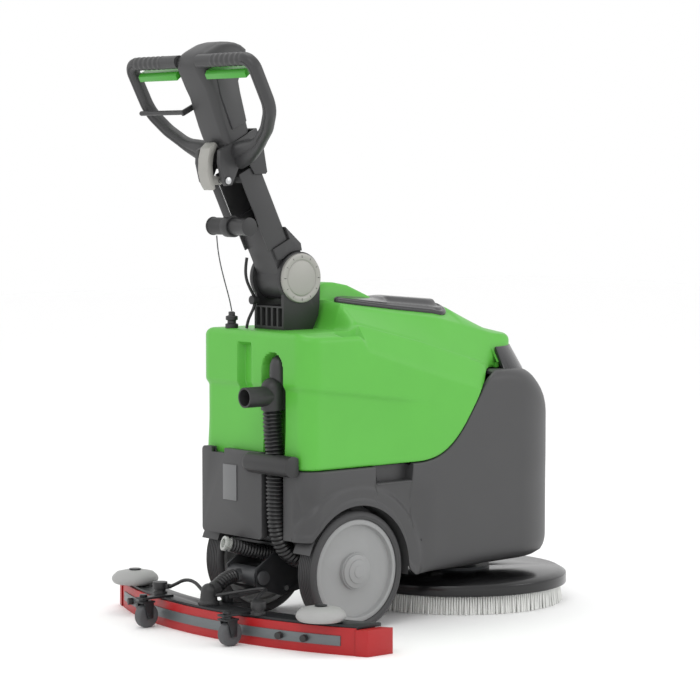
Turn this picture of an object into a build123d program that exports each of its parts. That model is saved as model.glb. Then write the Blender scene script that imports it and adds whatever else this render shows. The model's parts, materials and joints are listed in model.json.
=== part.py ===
"""Walk-behind floor scrubber: a brush deck in front, two transport wheels, a squeegee behind,
a grey lower shell, a recovery tank on top of it, and a folding column with a two-handed head.

Millimetres, +Z up, +X the way the machine drives, +Y its left side. Places are worked out from
the transport axle (x = 0) and moved to the origin when a piece is written, so that the origin is
on the floor under the middle of the whole machine's box.
"""
from build123d import *
import math
import os

# ---- driving dimensions -------------------------------------------------------------------
WHEEL_R = 136.5            # transport wheel
TYRE_WIDTH = 54.8
WHEEL_OUTER_Y = 197.3      # outer face of each tyre
BODY_HALF = 200.0          # half of the body's width
BODY_REAR = -152.0         # rear wall of both shells
BODY_FRONT = 700.0         # nose of the lower shell
SEAM_Z = 372.0             # joint between lower shell and recovery tank
SEAM_GAP = 3.0
REAR_BOTTOM_Z = 213.0      # lower edge of the shell behind the wheels
TANK_REAR_TOP = 682.0      # flat rear deck of the tank, where the column stands
LID_REAR_Z, LID_FRONT_Z = 733.0, 713.0   # deck under the inspection lid, at its two ends
HUMP_Z = 784.0             # swell in front of the column
TANK_FRONT = 604.0
SHELL = 4.0                # wall of every moulded shell
ARCH_R = 151.0             # wheel arch
ARCH_INNER_Y = 137.0       # inner wall of the wheel arch
DECK_X = 487.8             # brush axis
DECK_R = 265.0             # brush cover
DECK_TOP = 78.8
DECK_BOTTOM = 44.9
BRISTLE_R = 251.5
SQUEEGEE_ARC_X = 658.0     # centre of the squeegee's curve
BLADE_R = 966.0            # outside of the rear blade
BLADE_HALF = 459.0         # half of the squeegee's width
PIVOT_X, PIVOT_Z = -52.0, 800.0      # column fold axis
COLUMN_LEAN = 26.0         # degrees back from upright
COLUMN_TOP = 285.0         # column length above the fold axis
HEAD_X, HEAD_Z = -252.0, 1022.0      # head tilt axis
HEAD_LEAN = 27.0
CASTER_R = 27.5
CASTER_X, CASTER_Y = -336.0, 156.0
CASTER_TRAIL = 8.0
RUN = 0.05                 # radial running clearance of a pin in its bore
CLEAR = 0.5                # gap between neighbours that do not touch

ORIGIN_X = (DECK_X + DECK_R + CASTER_X - CASTER_R) / 2


# ---- small builders -----------------------------------------------------------------------
def block(x0, x1, y0, y1, z0, z1):
    """A box from its limits."""
    return Pos((x0 + x1) / 2, (y0 + y1) / 2, (z0 + z1) / 2) * Box(x1 - x0, y1 - y0, z1 - z0)


def rod(radius, start, end):
    """A round bar between two points."""
    axis = Vector(*end) - Vector(*start)
    return extrude(Plane(origin=start, z_dir=axis) * Circle(radius), axis.length)


def rod_y(radius, x, z, y0, y1):
    return rod(radius, (x, y0, z), (x, y1, z))


def rod_z(radius, x, y, z0, z1):
    return rod(radius, (x, y, z0), (x, y, z1))


def side_face(points, y, arcs=()):
    """A closed outline given as (x, z), on the plane across the machine at y."""
    plane = Plane(origin=(0, y, 0), x_dir=(1, 0, 0), z_dir=(0, -1, 0))
    outline = make_face(Polyline(*points, close=True))
    for radius, picks in arcs:
        corners = [v for v in outline.vertices() if any(
            math.dist((v.X, v.Y), points[i]) < 0.01 for i in picks)]
        outline = fillet(corners, radius)
    return plane * outline


def prism(points, y0, y1, arcs=()):
    """That outline carried across the machine from y0 to y1."""
    return extrude(side_face(points, y1, arcs), y1 - y0)


def plan_form(x0, x1, half, rear_r, front_r, z0, z1):
    """The rounded plan outline of a shell, carried up."""
    sheet = Pos((x0 + x1) / 2, 0, z0) * Rectangle(x1 - x0, 2 * half)
    rear = [v for v in sheet.vertices() if v.X < (x0 + x1) / 2]
    sheet = fillet(rear, rear_r)
    front = [v for v in sheet.vertices() if v.X > x1 - 1]
    return extrude(fillet(front, front_r), z1 - z0)


def both_sides(shape):
    """The shape and its mirror image across the machine's middle plane."""
    return shape + mirror(shape, Plane.XZ)


def turned(points):
    """A revolved solid about local Z from (radius, height) points."""
    return revolve(Plane.XZ * make_face(Polyline(*points, close=True)), Axis.Z)


def on_wheel_axis(shape, side, x=0.0, z=WHEEL_R):
    """Turns a local Z axis to point out of the machine's side, and sets it on the axle line."""
    return Pos(x, 0, z) * Rot(-90 * side, 0, 0) * shape


def on_column(shape):
    """From the column's frame (X forward, Z up the column) to the machine's."""
    return Pos(PIVOT_X, 0, PIVOT_Z) * Rot(0, -COLUMN_LEAN, 0) * shape


def on_head(shape):
    return Pos(HEAD_X, 0, HEAD_Z) * Rot(0, -HEAD_LEAN, 0) * shape


def corner_radii(points):
    """The arc at each corner of a hose: as large as its two runs allow."""
    radii = []
    for before, here, after in zip(points, points[1:], points[2:]):
        first, second = Vector(*here) - Vector(*before), Vector(*after) - Vector(*here)
        half_turn = math.radians(first.get_angle(second)) / 2
        radii.append(0.45 * min(first.length, second.length) / math.tan(half_turn))
    return radii


def hose(name, points, diameter):
    """A hose or cable: straight runs joined by arcs, with its radii and volume printed."""
    radii = corner_radii(points)
    path = FilletPolyline(*points, radius=radii)
    section = Plane(origin=points[0], z_dir=Vector(*points[1]) - Vector(*points[0]))
    tube = sweep(section * Circle(diameter / 2), path=path)
    expected = math.pi * diameter ** 2 / 4 * path.length
    print(f"{name}: length {path.length:.1f}, smallest radius {min(radii):.1f},"
          f" volume {tube.volume / expected:.4f} of section times length")
    return tube


# ---- lower shell --------------------------------------------------------------------------
SEAM_CURVE = [(210, SEAM_Z), (262, SEAM_Z + 14), (312, SEAM_Z + 52), (350, SEAM_Z + 104),
              (385, SEAM_Z + 158), (425, SEAM_Z + 202)]
NOSE_TOP_Z = 560.0
NOSE_R = 188.0                # the nose is nearly a half circle in plan
NICHE_Y = (-114.0, -42.0)     # channel that the drain hose hangs in
NICHE_X = -122.0              # its back wall
NICHE_TOP = 632.0
POCKET = (54.0, 164.0, 333.0, 25.0)   # grip pocket: from x, to x, lower edge, depth


def lower_outline():
    return [(BODY_REAR, REAR_BOTTOM_Z), (BODY_REAR, SEAM_Z), *SEAM_CURVE, (BODY_FRONT - 100, NOSE_TOP_Z),
            (BODY_FRONT - 55, NOSE_TOP_Z - 12), (BODY_FRONT - 25, NOSE_TOP_Z - 38),
            (BODY_FRONT - 8, NOSE_TOP_Z - 75), (BODY_FRONT, NOSE_TOP_Z - 140), (BODY_FRONT, 215),
            (BODY_FRONT - 15, 118), (217, 80), (100, 80), (100, REAR_BOTTOM_Z)]


def lower_block(inset):
    """The lower shell's outside, or the same moved in by a wall."""
    face = offset(make_face(Polyline(*lower_outline(), close=True)), -inset) if inset else (
        make_face(Polyline(*lower_outline(), close=True)))
    plane = Plane(origin=(0, BODY_HALF, 0), x_dir=(1, 0, 0), z_dir=(0, -1, 0))
    plan = plan_form(BODY_REAR + inset, BODY_FRONT - inset, BODY_HALF - inset,
                     50 - inset, NOSE_R - inset, 0, 700)
    return extrude(plane * face, 2 * BODY_HALF) & plan


def niche(grow, z0, z1):
    """The hose channel, or that grown by a wall."""
    return block(BODY_REAR - 60, NICHE_X + grow, NICHE_Y[0] - grow, NICHE_Y[1] + grow, z0, z1)


def pocket(grow):
    x0, x1, z0, depth = POCKET
    return both_sides(block(x0 - grow, x1 + grow, -BODY_HALF - 30, -BODY_HALF + depth + grow,
                            z0 - grow, SEAM_Z + 20))


def arch(radius, y0):
    return both_sides(rod_y(radius, 0, WHEEL_R, y0, BODY_HALF + 30))


def lower_body():
    """Grey moulded shell: solution tank and skirt, open below, with wheel arches."""
    hollow = lower_block(SHELL)
    under = Pos(0, 0, -3 * SHELL) * hollow
    above = (Pos(0, 0, 3 * SHELL) * hollow) & block(BODY_REAR, SEAM_CURVE[-1][0] - 12,
                                                    -BODY_HALF, BODY_HALF, 0, 700)
    inside = hollow + under + above
    inside -= niche(SHELL, 0, 700)
    inside -= pocket(SHELL)
    inside -= arch(ARCH_R + SHELL, ARCH_INNER_Y - SHELL)
    shell = lower_block(0) - niche(0, 0, 700) - pocket(0) - arch(ARCH_R, ARCH_INNER_Y)
    between_wheels = block(80, 120, -ARCH_INNER_Y + SHELL, ARCH_INNER_Y - SHELL, 0, REAR_BOTTOM_Z + SHELL)
    hose_way = block(BODY_REAR - 1, -90, NICHE_Y[0] - SHELL, NICHE_Y[1] + SHELL, 0, 250)
    return shell - inside - between_wheels - hose_way


# ---- recovery tank ------------------------------------------------------------------------
LID_X = (204.0, 404.0)
TONGUE_X = 32.0               # the lid's tongue reaches back to here, beside the swell
TONGUE_Y = (-80.0, -14.0)
LID_HALF = 80.0
LID_SLOPE = math.degrees(math.atan2(LID_REAR_Z - LID_FRONT_Z, LID_X[1] + 10 - LID_X[0]))
LID_LIP = 14.0                # the lid laps over its opening by this
LID_GAP = 1.5
HUMP_Y = (-11.0, 74.0)
SLOT = (2.0, 48.0, 516.0, 650.0, 22.0)   # rear hand recess: y, y, z, z, depth
# two sloping roofs that shape the tank's shoulders: half width, height there at the rear wall,
# rise per width, degrees that it falls towards the front
ROOFS = [(200.0, 682.0, 1.1, 14.7), (130.0, 749.0, 1.0, 11.7)]
TANK_NOSE_X, TANK_NOSE_R = 474.0, 130.0    # the tank's front is half round in plan


def tank_outline():
    lifted = [(x - 2, z + SEAM_GAP) for x, z in SEAM_CURVE]
    return [(BODY_REAR, SEAM_Z + SEAM_GAP), *lifted, (TANK_FRONT - 25, 588), (TANK_FRONT, 612),
            (TANK_FRONT, 642), (520, 669), (LID_X[1] + 10, LID_FRONT_Z), (LID_X[0] - 4, LID_REAR_Z),
            (LID_X[0] - 8, LID_REAR_Z + 15), (128, HUMP_Z - 8), (84, HUMP_Z), (50, HUMP_Z), (24, 744),
            (12, TANK_REAR_TOP),
            (BODY_REAR + 9, TANK_REAR_TOP), (BODY_REAR, TANK_REAR_TOP - 10)]


def roof(half, z, rise, fall, inset):
    """Everything under a gable whose eaves are at half width, falling towards the front."""
    ridge = half * rise
    across = make_face(Polyline((-400, -600), (-400, (half - 400) * rise), (0, ridge),
                                (400, (half - 400) * rise), (400, -600), close=True))
    gable = extrude(Plane(origin=(-200, 0, 0), x_dir=(0, 1, 0), z_dir=(1, 0, 0)) * across, 1200)
    drop = inset * math.hypot(1, rise)
    return Pos(BODY_REAR, 0, z - drop) * Rot(0, fall, 0) * gable


def tank_plan(inset):
    side = [(BODY_REAR, BODY_HALF), (385, BODY_HALF), (TANK_NOSE_X, TANK_NOSE_R), (TANK_FRONT, TANK_NOSE_R)]
    outline = make_face(Polyline(*side, *[(x, -y) for x, y in reversed(side)], close=True))
    outline = fillet([v for v in outline.vertices() if v.X < 0], 50)
    outline = fillet([v for v in outline.vertices() if v.X > TANK_FRONT - 1], TANK_NOSE_R - CLEAR)
    outline = offset(outline, -inset) if inset else outline
    return extrude(Pos(0, 0, 300) * outline, 600)


def tank_block(inset):
    face = make_face(Polyline(*tank_outline(), close=True))
    face = offset(face, -inset) if inset else face
    plane = Plane(origin=(0, BODY_HALF, 0), x_dir=(1, 0, 0), z_dir=(0, -1, 0))
    form = extrude(plane * face, 2 * BODY_HALF) & tank_plan(inset)
    for half, z, rise, fall in ROOFS:
        form &= roof(half, z, rise, fall, inset)
    above_deck = block(-200, 0, -BODY_HALF, HUMP_Y[0] + inset, 0, 200)
    above_deck += block(-200, 0, HUMP_Y[1] - inset, BODY_HALF, 0, 200)
    return form - on_lid(Pos(0, 0, -inset) * above_deck)


def on_lid(shape):
    """From the lid's frame (X forward along its slope, Z square to it) to the machine's."""
    return Pos(LID_X[0], 0, LID_REAR_Z) * Rot(0, LID_SLOPE, 0) * shape


def tank_niche(grow):
    """Hose channel with a round top."""
    y0, y1 = NICHE_Y
    top = NICHE_TOP - (y1 - y0) / 2
    straight = niche(grow, 300, top)
    middle = (y0 + y1) / 2
    crown = rod((y1 - y0) / 2 + grow, (BODY_REAR - 60, middle, top), (NICHE_X + grow, middle, top))
    return straight + crown


def tank_slot(grow):
    y0, y1, z0, z1, depth = SLOT
    return block(BODY_REAR - 30, BODY_REAR + depth + grow, y0 - grow, y1 + grow, z0 - grow, z1 + grow)


def recovery_tank():
    """Green moulded tank with the hose channel, a rear hand recess and the lid opening."""
    inside = tank_block(SHELL) - tank_niche(SHELL) - tank_slot(SHELL)
    mouth = block(LID_X[0] + LID_LIP, LID_X[1] - LID_LIP, -LID_HALF + LID_LIP,
                  LID_HALF - LID_LIP, 650, 790)
    return tank_block(0) - tank_niche(0) - tank_slot(0) - inside - mouth


def tank_lid():
    """Inspection lid that laps over the opening, with the hinge tongue that runs back beside the swell."""
    length = LID_X[1] - LID_X[0]
    top = 12
    plate = block(0, length, -LID_HALF, LID_HALF, LID_GAP, top)
    plate = fillet(plate.edges().filter_by(Axis.Z).group_by(Axis.X)[-1], 55)
    tongue = block(TONGUE_X - LID_X[0], 1, *TONGUE_Y, LID_GAP, top)
    rim = LID_LIP + 3
    plug = block(rim, length - rim, -LID_HALF + rim, LID_HALF - rim, -12, 3)
    plug -= block(rim + SHELL, length - rim - SHELL, -LID_HALF + rim + SHELL,
                  LID_HALF - rim - SHELL, -20, LID_GAP)
    return on_lid(plate + tongue + plug)


def front_cover():
    """Dark glossy collar that slopes from the tank's round front down to the nose."""
    inner, outer = TANK_NOSE_R + 4, 166.0
    ring = turned([(inner - 3, 614), (inner - 3, 621), (inner + 1, 624), (outer, 568), (outer, 500),
                   (outer - 6, 500), (outer - 6, 563), (inner, 607)])
    collar = Pos(TANK_NOSE_X, 0, 0) * ring & block(TANK_NOSE_X + 12, 700, -200, 200, 500, 700)
    return collar - Pos(0, 0, CLEAR) * lower_block(0)


# ---- rear panel, hoses and their holders -----------------------------------------------------
PANEL_X = (-170.0, -154.0)
PANEL_Y = (-60.0, 162.0)
PANEL_Z = (209.0, 408.0)


def rear_panel():
    """Rear door with a finger notch in its top edge and a plain raised badge."""
    panel = block(*PANEL_X, *PANEL_Y, *PANEL_Z)
    panel = fillet(panel.edges().filter_by(Axis.X), 10)
    panel -= block(PANEL_X[0] - 1, PANEL_X[1] - SHELL, PANEL_Y[0] + SHELL, PANEL_Y[1] - SHELL,
                   PANEL_Z[0] + SHELL, PANEL_Z[1] - SHELL) & block(-163, 0, -500, 500, 0, 900)
    panel -= block(PANEL_X[0] - 1, PANEL_X[1] + 1, 78, 126, PANEL_Z[1] - 12, PANEL_Z[1] + 1)
    badge = block(PANEL_X[0] - 1.5, PANEL_X[0], 30, 80, 290, 372)
    return panel + badge


HOSE_D = 45.0
HOSE_ROUTE = [(-150, -75, 504.8), (-150, -75.5, 462), (-150, -83, 420), (-151, -88, 376),
              (-152, -89, 328), (-152, -90, 280), (-149, -91, 236), (-136, -92, 198), (-108, -94, 170),
              (-72, -96, 159), (-36, -97, 157)]
ELBOW_Z = 537.0
SPIGOT_END = -230.0
SPIGOT_R = 23.0
SPIGOT_BORE = 19.0


def drain_elbow():
    """Elbow on the hose's upper end, with an open spigot that points rearwards."""
    x, y, z0 = HOSE_ROUTE[0]
    body = rod_z(26, x, y, z0 + CLEAR, ELBOW_Z + 16) + Pos(x, y, ELBOW_Z + 16) * Sphere(26)
    spigot = rod(SPIGOT_R, (x, y, ELBOW_Z), (SPIGOT_END, y, ELBOW_Z))
    bore = rod(SPIGOT_BORE, (x - 10, y, ELBOW_Z), (SPIGOT_END - 1, y, ELBOW_Z))
    down = rod_z(SPIGOT_BORE, x, y, z0 + 8, ELBOW_Z)
    return body + spigot - bore - down


BAR_X, BAR_Z, BAR_R = -168.0, 384.0, 24.0
BAR_Y = (-172.0, -24.0)


def hose_bar():
    """Rounded bar that holds the drain hose in its channel."""
    bar = rod_y(BAR_R, BAR_X, BAR_Z, *BAR_Y) + Pos(BAR_X, BAR_Y[1], BAR_Z) * Sphere(BAR_R)
    hose_back = min(p[0] for p in HOSE_ROUTE) - HOSE_D / 2
    bar -= block(hose_back - CLEAR, 0, NICHE_Y[0] - 1, 60, 300, 460)
    return bar - block(BODY_REAR - CLEAR, 0, -400, NICHE_Y[0], 300, 460)


SOLUTION_D = 34.0
SOLUTION_ROUTE = [(-187, 34, 190), (-160, 26, 182), (-128, 17, 172), (-90, 9, 164.5), (-45, 4, 161)]


def solution_nozzle():
    """Clear end fitting of the solution hose."""
    start, ahead = Vector(*SOLUTION_ROUTE[0]), Vector(*SOLUTION_ROUTE[1])
    way = (start - ahead).normalized()
    collar = extrude(Plane(origin=start, z_dir=way) * Circle(14), 10)
    lip = extrude(Plane(origin=start + way * 10, z_dir=way) * Circle(17), 8)
    bore = extrude(Plane(origin=start + way * 3, z_dir=way) * Circle(11), 20)
    return collar + lip - bore


# ---- chassis --------------------------------------------------------------------------------
PLATE_Z = (188.0, 194.0)
CHEEK_Y = (50.0, 56.0)
AXLE_R = 10.0
AXLE_END = 191.0
ARM_X, ARM_Z, ARM_PIN_R = -95.0, 92.0, 6.0    # squeegee lift axis
MANIFOLD_X, MANIFOLD_Z, MANIFOLD_R = -164.0, 122.0, 22.0
MOTOR_R = 55.0


def chassis_frame():
    """Steel plate with two hanging cheeks for the axle, the lift pin and the hose sockets."""
    plate = block(-114, 560, -118, 118, *PLATE_Z) + block(170, 420, -195.5, 195.5, *PLATE_Z)
    cheek = prism([(-182, 100), (-182, 144), (-110, PLATE_Z[0]), (40, PLATE_Z[0]), (40, 118),
                   (-60, 84), (-110, 76)], *CHEEK_Y)
    cheeks = both_sides(cheek)
    sockets = block(-34, -20, -118, -CHEEK_Y[1], 142, PLATE_Z[0])
    sockets += block(-42, -28, -CHEEK_Y[0], CHEEK_Y[0], 148, PLATE_Z[0])
    frame = plate + cheeks + sockets
    frame -= block(-120, -34, -120, -CHEEK_Y[1] - 8, PLATE_Z[0] - 1, PLATE_Z[1] + 1)
    frame -= rod_y(AXLE_R + RUN, 0, WHEEL_R, -70, 70)
    frame -= rod_y(ARM_PIN_R, ARM_X, ARM_Z, -70, 70)
    frame -= rod_z(MOTOR_R - 10 + CLEAR, DECK_X, 0, 180, 200)
    return frame - rod_y(MANIFOLD_R - 6, MANIFOLD_X, MANIFOLD_Z, -70, 70)


def axle():
    return rod_y(AXLE_R, 0, WHEEL_R, -AXLE_END, AXLE_END)


def suction_manifold():
    """Cross tube that the squeegee's suction hose runs into, with a bright plug in its right end."""
    tube = rod_y(MANIFOLD_R, MANIFOLD_X, MANIFOLD_Z, -CHEEK_Y[0], CHEEK_Y[0])
    tube += rod_y(MANIFOLD_R - 6, MANIFOLD_X, MANIFOLD_Z, -62, 62)
    inlet = rod(16, (MANIFOLD_X, 8, MANIFOLD_Z), (-194.5, 8, MANIFOLD_Z))
    return tube + inlet


def batteries():
    length, width, height, gap = 166.0, 197.0, 165.0, 4.0
    first = -97.0
    post_low, post_y = PLATE_Z[1] + height - 16, 70
    case = block(0, length, -width / 2, width / 2, PLATE_Z[1], post_low)
    cell = case + both_sides(rod_z(8, 30, post_y, post_low, post_low + 16))
    return Pos(first, 0, 0) * cell + Pos(first + length + gap, 0, 0) * cell


def vacuum_motor():
    x = 310.0
    body = rod_z(66, x, 0, PLATE_Z[1], PLATE_Z[1] + 70) + rod_z(45, x, 0, PLATE_Z[1] + 70, PLATE_Z[1] + 140)
    return body - rod_z(14, x, 0, PLATE_Z[1] + 100, PLATE_Z[1] + 141)


SHAFT_R = 10.0
SHAFT_TOP = 126.0


def brush_motor():
    """Motor, gearbox and the flange that carries the brush cover."""
    motor = rod_z(MOTOR_R, DECK_X, 0, PLATE_Z[1], PLATE_Z[1] + 130)
    gearbox = rod_z(MOTOR_R - 10, DECK_X, 0, DECK_TOP, PLATE_Z[1])
    flange = rod_z(78, DECK_X, 0, DECK_TOP, DECK_TOP + 7)
    return motor + gearbox + flange - rod_z(SHAFT_R + RUN, DECK_X, 0, DECK_TOP - 1, SHAFT_TOP + 2)


def deck_cover():
    """Round black brush cover: a dished plate with a short skirt."""
    wall = 5.0
    points = [(28, DECK_TOP), (DECK_R - 16, DECK_TOP), (DECK_R, DECK_TOP - 9), (DECK_R, DECK_BOTTOM),
              (DECK_R - wall, DECK_BOTTOM), (DECK_R - wall, DECK_TOP - 12), (DECK_R - 18, DECK_TOP - wall),
              (28, DECK_TOP - wall)]
    return Pos(DECK_X, 0, 0) * turned(points)


def brush_block():
    """Brush disc with its drive boss and shaft."""
    disc = rod_z(238, DECK_X, 0, DECK_BOTTOM + 1, 62)
    return disc + rod_z(24, DECK_X, 0, 62, 72) + rod_z(SHAFT_R, DECK_X, 0, 72, SHAFT_TOP)


def brush_bristles():
    points = [(110, 0), (BRISTLE_R, 0), (237, DECK_BOTTOM + 1), (118, DECK_BOTTOM + 1)]
    return Pos(DECK_X, 0, 0) * turned(points)


# ---- transport wheels -----------------------------------------------------------------------
RIM_R = 118.7
HUB_R = 42.0


def tyre(side):
    inner = WHEEL_OUTER_Y - TYRE_WIDTH
    points = [(RIM_R, inner + 3), (RIM_R, WHEEL_OUTER_Y - 3), (RIM_R + 6, WHEEL_OUTER_Y),
              (WHEEL_R - 7, WHEEL_OUTER_Y), (WHEEL_R, WHEEL_OUTER_Y - 9), (WHEEL_R, inner + 9),
              (WHEEL_R - 7, inner), (RIM_R + 6, inner)]
    return on_wheel_axis(turned(points), side)


def rim(side):
    """Moulded wheel centre: lip, web and hub."""
    inner = WHEEL_OUTER_Y - TYRE_WIDTH
    lip, web, hub = 12.0, 183.0, 192.0
    points = [(AXLE_R + RUN, inner + 4), (HUB_R, inner + 4), (HUB_R, inner + 16), (RIM_R - lip, inner + 20),
              (RIM_R - lip, inner + 5), (RIM_R, inner + 5), (RIM_R, WHEEL_OUTER_Y - 5),
              (RIM_R - lip, WHEEL_OUTER_Y - 3), (RIM_R - lip - 3, web), (HUB_R, web), (HUB_R, hub),
              (AXLE_R + RUN, hub)]
    return on_wheel_axis(turned(points), side)


def hub_cap(side):
    points = [(0, 192), (HUB_R - 2, 192), (HUB_R - 4, 196), (28, 198), (27, 201), (15, 202), (14, 204), (0, 204)]
    return on_wheel_axis(turned(points), side)


# ---- column ---------------------------------------------------------------------------------
HUB_HALF = 43.5
CHEEK_IN, CHEEK_OUT = 44.3, 54.0
PIVOT_BOLT_R = 8.0
BASE_R = 60.0
CAP_R = 56.6
COLUMN_HALF = 45.0
COLUMN_BACK, COLUMN_FACE = -47.0, 16.0
GROMMET_Y, GROMMET_Z = 44.0, 748.0


def column_base():
    """Black ribbed foot with two round cheeks and the cable's grommet."""
    foot = prism([(-99, TANK_REAR_TOP), (-14, TANK_REAR_TOP), (2, 712), (6, 736), (-99, 736)],
                 -CHEEK_OUT, CHEEK_OUT)
    for i in range(-2, 3):
        foot -= block(-100, -89, i * 20 - 7, i * 20 + 7, TANK_REAR_TOP + 8, 732)
    cheek = prism([(-99, 736), (6, 736), (8, 800), (PIVOT_X, 800), (-99, 770)], CHEEK_IN, CHEEK_OUT)
    cheek += rod_y(BASE_R, PIVOT_X, PIVOT_Z, CHEEK_IN, CHEEK_OUT)
    base = foot + both_sides(cheek)
    grommet = rod(10, (-99, GROMMET_Y, GROMMET_Z), (-116, GROMMET_Y, GROMMET_Z))
    eye = rod_z(6.5, -107, GROMMET_Y, GROMMET_Z - 20, GROMMET_Z + 20)
    return base + grommet - eye - rod_y(PIVOT_BOLT_R, PIVOT_X, PIVOT_Z, -70, 70)


def pivot_bolt():
    """Fold axis: a bolt, and the silver-grey discs that cover its two ends."""
    disc = turned([(0, CHEEK_OUT), (CAP_R, CHEEK_OUT), (CAP_R, CHEEK_OUT + 5), (CAP_R - 3, CHEEK_OUT + 8),
                   (0, CHEEK_OUT + 8)])
    discs = [on_wheel_axis(disc, side, PIVOT_X, PIVOT_Z) for side in (-1, 1)]
    bolt = rod_y(PIVOT_BOLT_R, PIVOT_X, PIVOT_Z, -CHEEK_OUT, CHEEK_OUT)
    return bolt + discs[0] + discs[1]


def column_foot():
    """Hub on the fold axis, the neck that goes up into the channel, and its front shoe."""
    hub = rod_y(50, 0, 0, -HUB_HALF, HUB_HALF)
    neck = block(-40, COLUMN_FACE - SHELL - CLEAR, -COLUMN_HALF + SHELL + CLEAR,
                 COLUMN_HALF - SHELL - CLEAR, 0, 150)
    shoe = prism([(-34, 91.5), (-34, 64), (20, 46), (34, 42), (41, 68), (17, 122), (16.5, 91.5)], -49, 49)
    ring = both_sides(rod_y(BASE_R + 3, 0, 0, HUB_HALF, 70))
    foot = hub + neck + (shoe - ring) - rod_y(PIVOT_BOLT_R + RUN, 0, 0, -70, 70)
    return on_column(foot)


def column_channel():
    """Moulded channel, open to the rear."""
    outer = block(COLUMN_BACK, COLUMN_FACE, -COLUMN_HALF, COLUMN_HALF, 92, COLUMN_TOP)
    outer = fillet(outer.edges().filter_by(Axis.Z).group_by(Axis.X)[-1], 8)
    inner = block(COLUMN_BACK - 20, COLUMN_FACE - SHELL, -COLUMN_HALF + SHELL, COLUMN_HALF - SHELL,
                  80, COLUMN_TOP + 10)
    return on_column(outer - inner)


HINGE_PIN_R = 5.0
DRUM_R = 19.5
DRUM_D, DRUM_S = -88.0, 175.3      # drum axis in the column's frame
HINGE_D, HINGE_S = -82.4, 287.2    # head hinge in the column's frame


def drum_bracket():
    """Lug for the head's pin, and the strap and collar that carry the lift drum."""
    cap = block(COLUMN_BACK + 4, COLUMN_FACE - SHELL, -COLUMN_HALF + SHELL, COLUMN_HALF - SHELL, 262, 278)
    lug = prism([(COLUMN_BACK + 4, 262), (COLUMN_BACK + 4, 278), (HINGE_D + 2, HINGE_S + 9),
                 (HINGE_D - 4, HINGE_S - 9)], -14, 14)
    boss = rod_y(10, HINGE_D, HINGE_S, -14, 14)
    strap = block(DRUM_D - 3, DRUM_D + 3, -11, 11, DRUM_S + 20, HINGE_S - 6)
    collar = rod_y(DRUM_R + 5, DRUM_D, DRUM_S, -12, 12)
    arm = block(DRUM_D + 20, COLUMN_FACE - SHELL, -5, 5, DRUM_S - 9, DRUM_S + 9)
    bracket = cap + lug + boss + strap + collar + arm
    bracket -= rod_y(HINGE_PIN_R + RUN, HINGE_D, HINGE_S, -20, 20)
    return on_column(bracket - rod_y(DRUM_R + RUN, DRUM_D, DRUM_S, -20, 20))


def lift_drum():
    """Twist handle whose drum winds the squeegee's lift wire."""
    drum = rod_y(DRUM_R, DRUM_D, DRUM_S, -64, 64)
    ends = both_sides(rod_y(DRUM_R + 1.5, DRUM_D, DRUM_S, 64, 68))
    return on_column(drum + ends)


# ---- head -----------------------------------------------------------------------------------
COWL_HALF = 50.0
LOOP_D = 55.0
LOOP_R = 13.0
LOOP_PATH = [(49, 268), (224, 268), (222, 149), (181, 100), (129, 62), (45, 34)]
LOOP_RADII = [26.0, 70.0, 90.0, 120.0]
TRIGGER_D, TRIGGER_S, TRIGGER_PIN_R = 78.0, 240.0, 3.0
ROD_D, ROD_S, ROD_STUB_R = 60.0, 157.0, 4.0
COWL_OUTLINE = [(36, 70), (36, 115), (57, 272), (90, 283), (123, 281), (165, 262), (186, 235),
                (170, 214), (134, 183), (112, 77), (108, 70)]


def head_cowl():
    """Centre housing of the head, with the control panel's domed top."""
    shell = prism(COWL_OUTLINE, -COWL_HALF, COWL_HALF)
    wall = 3.0
    cavity = extrude(Plane(origin=(0, COWL_HALF - wall, 0), x_dir=(1, 0, 0), z_dir=(0, -1, 0)) * offset(
        make_face(Polyline(*COWL_OUTLINE, close=True)), -wall), 2 * (COWL_HALF - wall))
    shell -= cavity
    shell -= both_sides(rod_y(TRIGGER_PIN_R + RUN, TRIGGER_D, TRIGGER_S, 40, 60))
    shell -= rod_y(ROD_STUB_R + RUN, ROD_D, ROD_S, 40, 60)
    return on_head(shell)


def head_clevis():
    """Two cheeks round the hinge pin and the skirt over the column's top."""
    cheek = prism([(-11, 4), (-8, -9), (6, -14), (28, 2), (50, 20), (66, 40), (66, 69.5), (12, 69.5),
                   (-2, 45)], 34, 46)
    wing = prism([(66, 69.5), (66, 26), (72, -20), (100, -34), (106, -32), (123, 26), (123, 69.5)], 46, 50)
    join = prism([(50, 26), (66, 26), (66, 69.5), (50, 69.5)], 45.9, 50)
    front = prism([(102, -33), (106, -32), (123, 26), (123, 69.5), (118, 69.5), (118, 27)], -46, 46)
    clevis = both_sides(cheek + wing + join) + front
    bridge = block(40, 66, -34, 34, 60, 69.5)
    return on_head(clevis + bridge - rod_y(HINGE_PIN_R, 0, 0, -60, 60))


def head_pin():
    pin = rod_y(HINGE_PIN_R, 0, 0, -46, 46)
    return on_head(pin + both_sides(rod_y(8, 0, 0, 46, 49)))


def handle_loop(side):
    """Closed handle: ribbed grip across the top, bow down to the clevis."""
    points = [(LOOP_D, side * y, s) for y, s in LOOP_PATH]
    path = FilletPolyline(*points, radius=LOOP_RADII)
    start = Plane(origin=points[0], z_dir=(0, side, 0))
    loop = sweep(start * Circle(LOOP_R), path=path)
    return on_head(loop - block(0, 120, -COWL_HALF, COWL_HALF, 0, 300))


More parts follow.
